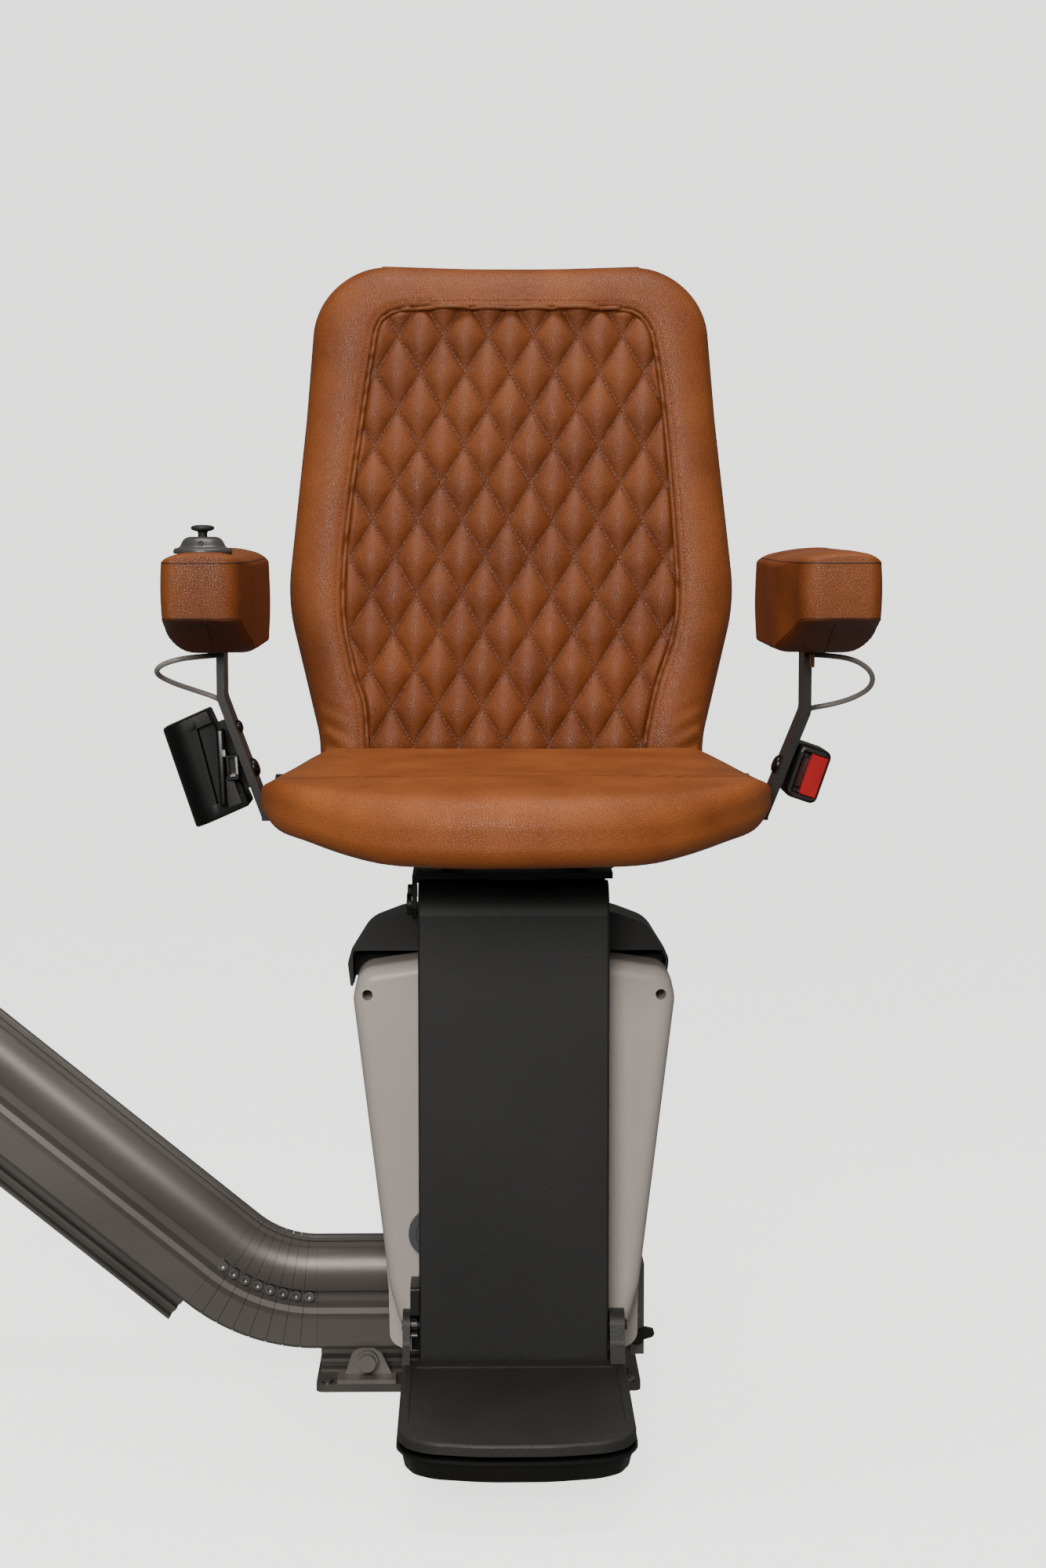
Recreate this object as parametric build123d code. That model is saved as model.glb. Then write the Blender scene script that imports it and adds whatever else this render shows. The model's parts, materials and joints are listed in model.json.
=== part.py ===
from build123d import *
import math
import os

# Stairlift chair on the bottom end of a curved rail. Millimetres, +Z up, the sitter faces -Y.
# The origin is the centre of the floor bolt pattern, on the underside of the foot plate.

# ---- driving dimensions -------------------------------------------------------------------------
PLATE_X = (-195.0, 127.0)  # foot plate, left and right end
PLATE_Y = 85.0
PLATE_T = 8.0
BOLT_X = 100.0  # half spacings of the four floor bolts
BOLT_Y = 67.0
BOLT_R = 4.5

RAIL_BOTTOM = 32.0
RAIL_BACK = 126.0  # the rear lip is lower than the front one
RAIL_TOP = 146.0
RAIL_Y = 45.0  # half depth of the rail
RAIL_END = 112.0  # right end of the level run
BEND_X = -195.5  # the bend starts here
BEND_Z = 238.0  # height of the bend's axis
BEND_TURN = 39.4  # degrees, also the slope of the stairs
WEDGES = 8
WEDGE_GAP = 0.14  # degrees between two wedges
INCLINE_LENGTH = 352.0
STRIP_START = 4.0  # the base strip of the incline starts this far above the bend

RACK_MODULE = 3.5
CHANNEL_Z = 118.0  # floor of the channel that holds the rack
RACK_ROOT_Z = 124.0
PINION_TEETH = 18
PRESSURE_ANGLE = 20.0
BACKLASH = 0.25
PITCH_Z = RACK_ROOT_Z + 1.25 * RACK_MODULE
PINION_R = RACK_MODULE * PINION_TEETH / 2
PINION_Z = PITCH_Z + PINION_R

ROLLER_X = 70.0
TOP_ROLLER_R = 15.0
LOW_ROLLER_R = 7.5
GROOVE_TOP = 91.0  # underside of the rail's bulge
ROLLER_GAP = 0.25

LEVEL_Z = 245.0  # axis on which the seat is kept upright
LEVEL_R = 28.0
RUN = 0.05  # radial clearance of a running fit

MID_X = -1.0  # centre plane of the apron and footrest
APRON_W = 177.0
APRON_Y = -235.0
APRON_TOP = 497.0
APRON_BOTTOM = 72.0

FOOT_W = 208.0
FOOT_TOP = 80.0
FOOT_T = 10.0
FOOT_FRONT = -485.0
FOOT_REAR = -240.0
FOOT_AXIS = (-222.0, 108.0)  # Y and Z of the footrest's hinge
PAN_BOTTOM = 45.0
GEAR_TEETH = 21
GEAR_PINION_TEETH = 14
GEAR_MODULE = 1.0

SWIVEL_Y = -170.0
SWIVEL_Z = 530.0  # top of the seat support
SEAT_AXIS = (-135.0, 600.0)  # Y and Z of the folding seat's pivots
ARM_AXIS = (-75.0, 600.0)  # Y and Z of the armrests' pivots

BACK_X = -0.5
LEAN = 8.0  # degrees the backrest leans back
BACK_FOOT = (-71.5, 606.0)  # Y and Z of the backrest cushion's lower front edge
BACK_T = 50.0
SHELL_T = 7.0

CABLE_D = 5.0

BAR_T = 7.0
BAR_LOW_X = 226.5  # middle of the bars beside the seat
BAR_LOW_Z = 593.0
LEFT_BAR = (266.2, 701.0)  # middle under the pad, and height of the bend
RIGHT_BAR = (264.8, 688.0)
BRACKET_Z = 640.0  # the belt's reel and buckle are bolted on about this height
BAR_FRONT = -265.0
BAR_REAR = -220.0
REEL_MIDDLE = (-281.5, 637.0)
REEL_TILT = 24.0
BUCKLE_CORNER = (259.6, 0.0, 663.0)
BUCKLE_TILT = 19.0
JOYSTICK = (-270.5, -370.0, 832.0)  # foot of the joystick's dome


# ---- helpers ------------------------------------------------------------------------------------
def wire(points, radii=None):
    """A closed outline with sharp corners, or with a radius for each corner."""
    if radii is None:
        return Polyline(*points, close=True)
    return FilletPolyline(*points, radius=radii, close=True)


def prism_y(points, y0, y1, radii=None):
    """An XZ outline pulled along Y."""
    face = make_face(wire([(x, y0, z) for x, z in points], radii))
    return extrude(face, amount=y1 - y0, dir=(0, 1, 0))


def prism_x(points, x0, x1, radii=None):
    """A YZ outline pulled along X."""
    face = make_face(wire([(x0, y, z) for y, z in points], radii))
    return extrude(face, amount=x1 - x0, dir=(1, 0, 0))


def prism_z(points, z0, z1, radii=None):
    """An XY outline pulled along Z."""
    face = make_face(wire([(x, y, z0) for x, y in points], radii))
    return extrude(face, amount=z1 - z0, dir=(0, 0, 1))


def block(x0, x1, y0, y1, z0, z1):
    return Pos((x0 + x1) / 2, (y0 + y1) / 2, (z0 + z1) / 2) * Box(x1 - x0, y1 - y0, z1 - z0)


def rod_x(y, z, r, x0, x1):
    return Pos((x0 + x1) / 2, y, z) * Rot(0, 90, 0) * Cylinder(r, x1 - x0)


def rod_y(x, z, r, y0, y1):
    return Pos(x, (y0 + y1) / 2, z) * Rot(90, 0, 0) * Cylinder(r, y1 - y0)


def rod_z(x, y, r, z0, z1):
    return Pos(x, y, (z0 + z1) / 2) * Cylinder(r, z1 - z0)


def mirrored(points):
    """The outline of a shape whose right half is given from bottom to top."""
    return points + [(-a, b) for a, b in reversed(points)]


def both_sides(shape):
    return shape + mirror(shape, about=Plane.YZ)


def group(solids):
    return Compound(children=list(solids))


# ---- gear teeth ---------------------------------------------------------------------------------
def gear_outline(teeth, module, turn=0.0):
    """Involute outline about (0, 0); a tooth stands at the angle turn, in degrees."""
    pitch_r = module * teeth / 2
    base_r = pitch_r * math.cos(math.radians(PRESSURE_ANGLE))
    root_r = pitch_r - 1.25 * module
    tip_r = pitch_r + module

    def inv(radius):
        roll = math.acos(min(1.0, base_r / radius))
        return math.tan(roll) - roll

    at_pitch = math.pi / (2 * teeth) - BACKLASH * module / 4 / pitch_r + inv(pitch_r)
    start = max(base_r, root_r)
    flank = [(root_r, at_pitch - inv(start))] if root_r < base_r else []
    for step in range(5):
        radius = start + (tip_r - start) * step / 4
        flank.append((radius, at_pitch - inv(radius)))
    points = []
    for tooth in range(teeth):
        middle = math.radians(turn) + 2 * math.pi * tooth / teeth
        for radius, half in flank:
            points.append((radius * math.cos(middle - half), radius * math.sin(middle - half)))
        for radius, half in reversed(flank):
            points.append((radius * math.cos(middle + half), radius * math.sin(middle + half)))
    return points


def rack_tooth(y0, y1):
    """One straight-sided rack tooth over X = 0."""
    slope = math.tan(math.radians(PRESSURE_ANGLE))
    half = math.pi * RACK_MODULE / 4 - BACKLASH / 2
    low = RACK_ROOT_Z - 0.5
    top = PITCH_Z + RACK_MODULE
    at_low = half + (PITCH_Z - low) * slope
    at_top = half - RACK_MODULE * slope
    return prism_y([(-at_low, low), (at_low, low), (at_top, top), (-at_top, top)], y0, y1)


# ---- rail ---------------------------------------------------------------------------------------
def rail_face(x):
    """The rail's section at x: top channel, rounded bulge, roller groove and ledge on both sides."""
    channel = [(0, CHANNEL_Z), (26, CHANNEL_Z)]
    front_lip = [(26, 143), (28, RAIL_TOP), (36, RAIL_TOP), (38, 144), (38, 141), (34, 139), (34, 134)]
    rear_lip = [(27, RAIL_BACK), (34, RAIL_BACK), (36, 124)]
    groove = [(43, GROOVE_TOP), (31, GROOVE_TOP), (30, 89), (30, 77), (37, 72), (38, 66), (RAIL_Y, 62)]
    foot = [(RAIL_Y, 35), (43, RAIL_BOTTOM), (0, RAIL_BOTTOM)]

    def flank(side, lip, shoulder):
        put = lambda points: [(x, side * y, z) for y, z in points]
        arc = ThreePointArc(*put([lip[-1], shoulder, groove[0]]))
        return Polyline(*put(channel + lip)) + arc + Polyline(*put(groove + foot))

    outline = flank(-1, front_lip, (44.5, 118)) + flank(1, rear_lip, (44.5, 110))
    hollow = make_face(wire([(x, -22, 42), (x, 22, 42), (x, 22, 110), (x, -22, 110)], [6, 6, 6, 6]))
    return make_face(outline) - hollow


def base_face(x, top):
    """The slotted base profile below the rail, hanging down from top."""
    half = [(40, 0), (40, -6), (32, -7), (32, -10), (41, -11), (41, -15)]
    half += [(34, -16), (34, -20), (44, -21), (44, -24)]
    points = [(y, z) for y, z in half] + [(-y, z) for y, z in reversed(half)]
    return make_face(wire([(x, y, top + z) for y, z in points]))


def up_the_stairs(shape):
    """Carries a shape from the start of the bend to a place above the bend."""
    return Pos(BEND_X, 0, BEND_Z) * Rot(0, BEND_TURN, 0) * Pos(-BEND_X, 0, -BEND_Z) * shape


def rail_parts():
    straight = extrude(rail_face(BEND_X), amount=RAIL_END - BEND_X, dir=(1, 0, 0))
    axis = Axis((BEND_X, 0, BEND_Z), (0, 1, 0))
    pitch = BEND_TURN / WEDGES
    wedge = revolve(rail_face(BEND_X), axis, pitch - WEDGE_GAP)
    turn = lambda angle: Pos(BEND_X, 0, BEND_Z) * Rot(0, angle, 0) * Pos(-BEND_X, 0, -BEND_Z)
    hole_z = 82.8
    first_hole = 0.62 * pitch
    hole = turn(first_hole) * rod_y(BEND_X, hole_z, 3.6, -RAIL_Y, -22)
    wedge = wedge - hole
    wedges = [turn(WEDGE_GAP / 2 + pitch * k) * wedge for k in range(WEDGES)]
    screw = rod_y(BEND_X, hole_z, 5.2, -36.5, -30.2) + rod_y(BEND_X, hole_z, 3.0, -30.5, -24)
    socket = rod_y(BEND_X, hole_z, 2.6, -37, -33)
    screw = screw - socket
    screws = [turn(WEDGE_GAP / 2 + pitch * k + first_hole) * screw for k in range(WEDGES)]
    end_screws = [rod_y(RAIL_END + 11, z, 3.5, -67, -64) for z in (72.0, 104.0)]
    incline = extrude(rail_face(BEND_X), amount=-INCLINE_LENGTH, dir=(1, 0, 0))
    strip_face = base_face(BEND_X - STRIP_START, RAIL_BOTTOM)
    strip = extrude(strip_face, amount=STRIP_START - INCLINE_LENGTH, dir=(1, 0, 0))
    parts = {
        "rail_straight": straight,
        "rail_bend_segments": group(wedges),
        "rail_screws": group(screws + end_screws),
        "rail_incline": up_the_stairs(incline),
        "incline_base_strip": up_the_stairs(strip),
    }
    return parts


def drive_rack():
    """Toothed bars in the rail's top channel: the level run, the bend and the incline."""
    half_w = 11.0
    floor = CHANNEL_Z
    pitch = math.pi * RACK_MODULE
    tooth = rack_tooth(-half_w, half_w)
    first = math.ceil((BEND_X + pitch / 2) / pitch)
    last = math.floor((RAIL_END - pitch / 2) / pitch)
    level = block(BEND_X, RAIL_END, -half_w, half_w, floor, RACK_ROOT_Z)
    level = level + [Pos(pitch * k, 0, 0) * tooth for k in range(first, last + 1)]
    bend_r = BEND_Z - RACK_ROOT_Z
    ring = rod_y(BEND_X, BEND_Z, BEND_Z - floor, -half_w, half_w)
    ring = ring - rod_y(BEND_X, BEND_Z, bend_r, -half_w, half_w)
    reach = 2 * BEND_Z
    slope = math.radians(BEND_TURN)
    corner = (BEND_X - reach * math.sin(slope), BEND_Z - reach * math.cos(slope))
    sector = prism_y([(BEND_X, BEND_Z), corner, (BEND_X, BEND_Z - reach)], -half_w, half_w)
    bend = ring & sector
    teeth_in_bend = 7
    step = BEND_TURN / teeth_in_bend
    for k in range(teeth_in_bend):
        angle = step * (k + 0.5)
        bend = bend + Pos(BEND_X, 0, BEND_Z) * Rot(0, angle, 0) * Pos(0, 0, -BEND_Z) * tooth
    count = int((INCLINE_LENGTH - pitch) / pitch)
    bar = block(BEND_X - INCLINE_LENGTH, BEND_X, -half_w, half_w, floor, RACK_ROOT_Z)
    bar = bar + [Pos(BEND_X - pitch * (k + 0.6), 0, 0) * tooth for k in range(count)]
    return group([level, bend, up_the_stairs(bar)])


def base_parts():
    base = extrude(base_face(PLATE_X[0] + 3, RAIL_BOTTOM), amount=RAIL_END - PLATE_X[0] - 3, dir=(1, 0, 0))
    x0, x1 = PLATE_X
    corners = [(x0, -PLATE_Y), (x1, -PLATE_Y), (x1, PLATE_Y), (x0, PLATE_Y)]
    plate = prism_z(corners, 0, PLATE_T, [8, 8, 8, 8])
    screw_y = 77.0
    screw_x = (-184.0, 116.0)
    screws = []
    for x in screw_x:
        for y in (-screw_y, screw_y):
            plate = plate - rod_z(x, y, 3.0, 0, PLATE_T)
            screw = rod_z(x, y, 5.5, PLATE_T, 11.5) + rod_z(x, y, 2.98, 1, PLATE_T)
            screws.append(screw - rod_z(x, y, 2.2, 10, 12))
    for x in (-BOLT_X, BOLT_X):
        for y in (-BOLT_Y, BOLT_Y):
            plate = plate - rod_z(x, y, BOLT_R, 0, PLATE_T)
    return {"base_profile": base, "foot_plate": plate, "foot_plate_screws": group(screws)}


def rail_end_parts():
    x = RAIL_END
    plate = block(x, x + 5, -48, 48, 12, 140)
    rib = block(x + 5, x + 19, -64, -34, 31, 123) - block(x + 9, x + 19, -56, -34, 62, 112)
    plate = plate + rib
    pivot_x, pivot_z = x + 11, 50.0
    plate = plate - rod_y(pivot_x, pivot_z, 2.5 + RUN, -66, -44)
    lever = rod_y(pivot_x, pivot_z, 7, -73, -65) + rod_y(pivot_x, pivot_z, 2.5, -73, -50)
    tongue = [(pivot_x, 46), (139, 51), (141, 54), (140, 58), (132, 60), (pivot_x, 56)]
    lever = lever + prism_y(tongue, -73, -65)
    foot = [(-174, -84), (-116, -84), (-116, -57), (-174, -57)]
    upright = [(-168, 8), (-119, 8), (-131, 33), (-138, 36.5), (-153, 36.5), (-160, 33)]
    bracket = prism_z(foot, PLATE_T, PLATE_T + 4) + prism_y(upright, -62, -57, [0, 0, 4, 4, 4, 4])
    bracket = bracket - rod_y(-144.5, 26, 4 + 0.02, -62, -57)
    bracket = bracket - rod_z(-184.0, -77.0, 6.5, PLATE_T, 14)
    knob = rod_y(-144.5, 26, 10.5, -70, -62) + rod_y(-144.5, 26, 8.5, -78, -70)
    knob = knob + rod_y(-144.5, 26, 4, -62, -57)
    return {
        "end_plate": plate,
        "end_lever": lever,
        "charge_bracket": bracket,
        "stop_buffer": knob,
    }


# ---- carriage -----------------------------------------------------------------------------------
CHASSIS_Y = (56.0, 62.0)  # inner and outer face of the front and rear walls
CHASSIS_TOP = 209.0


def carriage_parts():
    inner, outer = CHASSIS_Y
    wall = [(-108, 64), (108, 64), (108, 215), (60, 292), (-60, 292), (-108, 215)]
    front = prism_y(wall, -outer, -inner, [6] * 6)
    rear = block(-92, 92, inner, outer, 60, CHASSIS_TOP + 6)
    bridge = block(-92, 92, -inner, inner, CHASSIS_TOP, CHASSIS_TOP + 6)
    chassis = front + rear + bridge
    top_z = RAIL_TOP + TOP_ROLLER_R + ROLLER_GAP
    low_z = GROOVE_TOP - LOW_ROLLER_R - ROLLER_GAP
    chassis = chassis - rod_y(0, PINION_Z, 6 + RUN, -outer, outer)
    axles = []
    for x in (-ROLLER_X, ROLLER_X):
        chassis = chassis - rod_y(x, top_z, 5.02, -outer, outer)
        axles.append(rod_y(x, top_z, 5, -outer - 2, outer + 2))
        for side in (-1, 1):
            ends = sorted((side * (outer + 2), side * 33))
            chassis = chassis - rod_y(x, low_z, 3.02, *ends)
            axles.append(rod_y(x, low_z, 3, *ends))
    chassis = chassis - rod_y(0, LEVEL_Z, LEVEL_R + 0.02, -outer, -inner)
    shaft = rod_y(0, LEVEL_Z, LEVEL_R, -126, -inner) + rod_y(0, LEVEL_Z, 37, -68, -outer)
    shaft = shaft - rod_y(0, LEVEL_Z, LEVEL_R - 8, -126, -inner)
    gearbox = rod_y(0, PINION_Z, 38, -94, -outer) - rod_y(0, PINION_Z, 6 + RUN, -90, -outer)
    motor = rod_y(0, PINION_Z, 30, -118, -94)
    return {
        "carriage_chassis": chassis,
        "roller_axles": group(axles),
        "levelling_shaft": shaft,
        "drive_gearbox": gearbox,
        "drive_motor": motor,
    }


def rollers():
    """Two flanged wheels on the rail's front lip, and small wheels under the bulge in front and behind."""
    parts = {}
    top_z = RAIL_TOP + TOP_ROLLER_R + ROLLER_GAP
    low_z = GROOVE_TOP - LOW_ROLLER_R - ROLLER_GAP
    for name, x in (("left", -ROLLER_X), ("right", ROLLER_X)):
        wheel = rod_y(x, top_z, TOP_ROLLER_R, -41, -27) + rod_y(x, top_z, 9, -48, -20)
        parts["top_roller_" + name] = wheel - rod_y(x, top_z, 5 + RUN, -49, -19)
        pair = []
        for side in (-1, 1):
            ends = sorted((side * 44, side * 35))
            pair.append(rod_y(x, low_z, LOW_ROLLER_R, *ends) - rod_y(x, low_z, 3 + RUN, *ends))
        parts["low_rollers_" + name] = group(pair)
    return parts


def drive_pinion():
    outline = gear_outline(PINION_TEETH, RACK_MODULE, 90 - 180 / PINION_TEETH)
    gear = prism_y([(x, PINION_Z + z) for x, z in outline], -10, 10)
    return gear + rod_y(0, PINION_Z, 6, -89, 61) + rod_y(0, PINION_Z, 12, 10, 14)


# ---- power pack body ----------------------------------------------------------------------------
COVER_FRONT = -190.0
COVER_REAR = -134.0
COVER_WALL = 3.0
COVER_OUTLINE = [(66, 68), (107, 92), (119, 135), (152, 412), (146, 440), (80, 450)]
COVER_RADII = [25, 25, 60, 30, 20, 60]
REAR_OUTLINE = [(104, 57), (120, 66), (121, 118), (146, 418)]
HOOD_OUTLINE = [(151, 418), (154, 442), (133, 476), (96, 490)]
HOOD_X = -4.5
COVER_SCREW = (138.0, 416.0)


def scaled(points, inset, z_low, z_high):
    """The same outline with its sides moved in by inset and its ends by z_low and z_high."""
    bottom = min(z for x, z in points)
    top = max(z for x, z in points)
    span = top - bottom
    new_span = span - z_low - z_high
    return [(x - inset, bottom + z_low + (z - bottom) * new_span / span) for x, z in points]


def cover_parts():
    outline = mirrored(COVER_OUTLINE)
    radii = COVER_RADII + COVER_RADII[::-1]
    front = prism_y(outline, COVER_FRONT, COVER_REAR, radii)
    front = fillet(front.faces().sort_by(Axis.Y)[0].edges(), 14)
    inside = mirrored(scaled(COVER_OUTLINE, COVER_WALL, COVER_WALL, COVER_WALL))
    front = front - prism_y(inside, COVER_FRONT + 15, COVER_REAR, radii)
    core = mirrored(scaled(COVER_OUTLINE, 15, 15, 15))
    front = front - prism_y(core, COVER_FRONT + COVER_WALL, COVER_FRONT + 15, radii)
    screws = []
    screw_x, screw_z = COVER_SCREW
    seat = COVER_FRONT + 22
    for x in (-screw_x, screw_x):
        boss = rod_y(x, screw_z, 7.5, COVER_FRONT + 4, COVER_REAR)
        front = front + (boss & prism_y(outline, COVER_FRONT, COVER_REAR, radii))
        front = front - rod_y(x, screw_z, 5, COVER_FRONT - 1, seat)
        front = front - rod_y(x, screw_z, 2.1, COVER_FRONT - 1, COVER_REAR)
        screw = rod_y(x, screw_z, 4, seat - 3, seat) + rod_y(x, screw_z, 2, seat - 3, COVER_REAR)
        screws.append(screw - rod_y(x, screw_z, 1.4, seat - 4, seat - 1.5))
    rear_radii = [14, 14, 40, 10]
    rear = prism_y(mirrored(REAR_OUTLINE), COVER_REAR, -88, rear_radii + rear_radii[::-1])
    hollow = mirrored(scaled(REAR_OUTLINE, COVER_WALL, COVER_WALL, -8))
    rear = rear - prism_y(hollow, COVER_REAR, -91, rear_radii + rear_radii[::-1])
    flange = prism_y(mirrored(REAR_OUTLINE), COVER_REAR, COVER_REAR + 3, rear_radii + rear_radii[::-1])
    opening = mirrored(scaled(COVER_OUTLINE, 9, 9, 0))
    flange = flange - prism_y(opening, COVER_REAR - 1, COVER_REAR + 4, radii)
    rear = rear + (flange & block(-130, 130, COVER_REAR - 1, COVER_REAR + 4, 50, 145))
    rear = rear - rod_y(0, LEVEL_Z, 42, -92, -88)
    drop = LEVEL_Z - PINION_Z
    for step in range(5):
        angle = math.radians(BEND_TURN * step / 4)
        place = (-drop * math.sin(angle), LEVEL_Z - drop * math.cos(angle))
        rear = rear - rod_y(*place, 41, -92, -88)
    hood_radii = [0, 14, 30, 60, 60, 30, 14, 0]
    hood = prism_y([(x + HOOD_X, z) for x, z in mirrored(HOOD_OUTLINE)], -150, -84, hood_radii)
    hood = hood - prism_y([(x + HOOD_X, z) for x, z in mirrored(scaled(HOOD_OUTLINE, 3, 0, 3))], -147, -87)
    hood = hood - block(-153, 150, -151, COVER_REAR + 0.2, 417, 452)
    hood = hood - block(-44, 44, -124, -92, 470, 492)
    boss = rod_y(-78, 189, 22, -199, COVER_FRONT) - rod_y(-78, 189, 15, -199, -197)
    return {
        "front_cover": front,
        "cover_screws": group(screws),
        "rear_cover": rear,
        "hood": hood,
        "cover_boss": boss,
    }


def power_parts():
    corners = [(-92, 116), (92, 116), (112, 400), (60, 440), (-60, 440), (-112, 400)]
    plate = prism_y(corners, -128, -122, [8] * 6)
    hub = rod_y(0, LEVEL_Z, 36, -122, -70)
    frame = plate + hub - rod_y(0, LEVEL_Z, LEVEL_R + RUN, -128, -70)
    post = block(-40, 40, -122, -95, 360, SWIVEL_Z - 6) - block(-36, 36, -118, -99, 352, SWIVEL_Z - 6)
    frame = frame + post
    motor = rod_y(0, LEVEL_Z, 40, -170, -128.2) + block(-18, 74, -165, -134, LEVEL_Z - 16, LEVEL_Z + 16)
    batteries = [block(x - 39.5, x + 39.5, -184, -128.2, 300, 399) for x in (-50.5, 50.5)]
    board = block(-60, 60, -140, -138.4, 128, 198)
    for x, z, w, h in ((-38, 178, 24, 18), (0, 182, 30, 12), (36, 150, 22, 34), (-30, 146, 16, 16)):
        board = board + block(x - w / 2, x + w / 2, -150, -140, z - h / 2, z + h / 2)
    for x in (-52, 52):
        for z in (134, 192):
            board = board + rod_y(x, z, 3, -138.4, -128)
    return {
        "body_frame": frame,
        "levelling_motor": motor,
        "batteries": group(batteries),
        "control_board": board,
    }


def apron():
    """Dark bent panel from below the seat to the footrest, with edges turned back."""
    sheet = 3.0
    x0, x1 = MID_X - APRON_W / 2, MID_X + APRON_W / 2

    def skin(gap):
        front = APRON_Y + gap
        low = Line((x0, front, APRON_BOTTOM), (x0, front, APRON_TOP))
        bend = ThreePointArc((x0, front, APRON_TOP), (x0, front + 8, 516), (x0, -208, 527 - gap))
        top_rear = [(x0, -208, 527 - gap), (x0, -205, 527 - gap)]
        back = Polyline(*top_rear, (x0, -205, APRON_BOTTOM), (x0, front, APRON_BOTTOM))
        return make_face(low + bend + back)

    outer = extrude(skin(0), amount=x1 - x0, dir=(1, 0, 0))
    edges = outer.edges().filter_by(Axis.Z).group_by(Axis.Y)[0]
    outer = fillet(edges, 2.5)
    inner = Pos(sheet, 0, 0) * extrude(skin(sheet), amount=x1 - x0 - 2 * sheet, dir=(1, 0, 0))
    panel = outer - inner
    for z in (150.0, 470.0):
        panel = panel + block(x0 + sheet, x1 - sheet, -208, -205, z - 12, z + 12)
        panel = panel + rod_y(-40, z, 5, -205, COVER_FRONT) + rod_y(38, z, 5, -205, COVER_FRONT)
    y, z = FOOT_AXIS
    for side, reach in ((x0, -106.0), (x1, 105.0)):
        ends = sorted((side + (4 if reach < 0 else -4), reach))
        panel = panel + rod_x(y, z, 5, *ends)
    return panel


def seat_support():
    """Channel on the post with the king pin of the swivel."""
    x0, x1 = -95.5, 85.0
    top = [(x0, -204), (x1, -204), (x1, -95), (x0, -95)]
    low = SWIVEL_Z - 6
    shape = prism_z(top, low, SWIVEL_Z, [6, 6, 6, 6])
    cheek = [(-203, low), (-203, 500), (-190, 488), (-156, 488), (-156, low)]
    for x in (x0, x1 - 4):
        shape = shape + prism_x(cheek, x, x + 4)
    shape = shape + rod_z(0, SWIVEL_Y, 15, SWIVEL_Z, SWIVEL_Z + 9)
    lever_y, lever_z = -172.0, 500.0
    shape = shape + rod_x(lever_y, lever_z, 3, -101.5, x0)
    lever = rod_x(lever_y, lever_z, 10, -101, -96.5) + block(-101, -97.5, -172, -118, 502, 509)
    lever = lever + rod_x(-118, 505.5, 6, -101.5, -92) - rod_x(lever_y, lever_z, 3 + RUN, -103, x0)
    return {"seat_support": shape, "swivel_lever": lever}


# ---- footrest -----------------------------------------------------------------------------------
def footrest_outline(grow, rear, front):
    """Plan of the footrest: straight sides, bowed front with eased corners."""
    half = FOOT_W / 2 + grow
    side = [(half, rear), (half, front + 45), (half - 9, front + 22), (half - 26, front + 9), (half - 70, front)]
    radii = [6, 40, 22, 40, 150]
    points = [(MID_X + x, y) for x, y in side] + [(MID_X - x, y) for x, y in reversed(side)]
    return points, radii + radii[::-1]


def footrest_parts():
    points, radii = footrest_outline(-0.5, FOOT_REAR, FOOT_FRONT)
    plate = prism_z(points, FOOT_TOP - FOOT_T, FOOT_TOP, radii)
    plate = fillet(plate.faces().sort_by(Axis.Z)[-1].edges(), 3)
    inner, inner_radii = footrest_outline(-9, FOOT_REAR - 22, FOOT_FRONT + 12)
    plate = plate - prism_z(inner, FOOT_TOP - 1.5, FOOT_TOP, inner_radii)
    y, z = FOOT_AXIS
    ear = [(-262, 72), (-231, 72), (-207, 96), (-207, 123), (-237, 123), (-243, 96)]
    rounding = [0, 4, 12, 14, 14, 10]
    left = MID_X - FOOT_W / 2
    for x0, x1 in ((left, left + 7), (left + FOOT_W - 14.5, left + FOOT_W - 0.5)):
        plate = plate + prism_x(ear, x0, x1, rounding)
    plate = plate - rod_x(y, z, 5 + RUN, left - 1, left + 8) - rod_x(y, z, 5 + RUN, 86, 106)
    pins = [(x, py) for x in (-72, 70) for py in (-290, -440)]
    for x, py in pins:
        plate = plate + rod_z(x, py, 3, 52, FOOT_TOP - FOOT_T)
    gear = gear_outline(GEAR_TEETH, GEAR_MODULE, 90)
    wheel = prism_x([(y + a, z + b) for a, b in gear], left + 7.2, left + 13.5)
    wheel = wheel - rod_x(y, z, 5 + RUN, left, left + 14)
    lip, lip_radii = footrest_outline(0.8, FOOT_REAR - 12, FOOT_FRONT - 2)
    pan = prism_z(lip, 63, 66, lip_radii)
    top, top_radii = footrest_outline(-2.5, FOOT_REAR - 14, FOOT_FRONT + 2)
    low, low_radii = footrest_outline(-6, FOOT_REAR - 22, FOOT_FRONT + 8)
    rim = Pos(0, 0, 63) * make_face(wire(top, top_radii))
    floor = Pos(0, 0, PAN_BOTTOM) * make_face(wire(low, low_radii))
    pan = pan + loft([floor, rim])
    cut, cut_radii = footrest_outline(-10, FOOT_REAR - 26, FOOT_FRONT + 12)
    pan = pan - prism_z(cut, PAN_BOTTOM + 3, 67, cut_radii)
    for x, py in pins:
        pan = pan + rod_z(x, py, 7, PAN_BOTTOM, 62) - rod_z(x, py, 3 + RUN, PAN_BOTTOM + 2, 62)
    return {"footrest_plate": plate, "footrest_gear": wheel, "safety_pan": pan}


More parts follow.
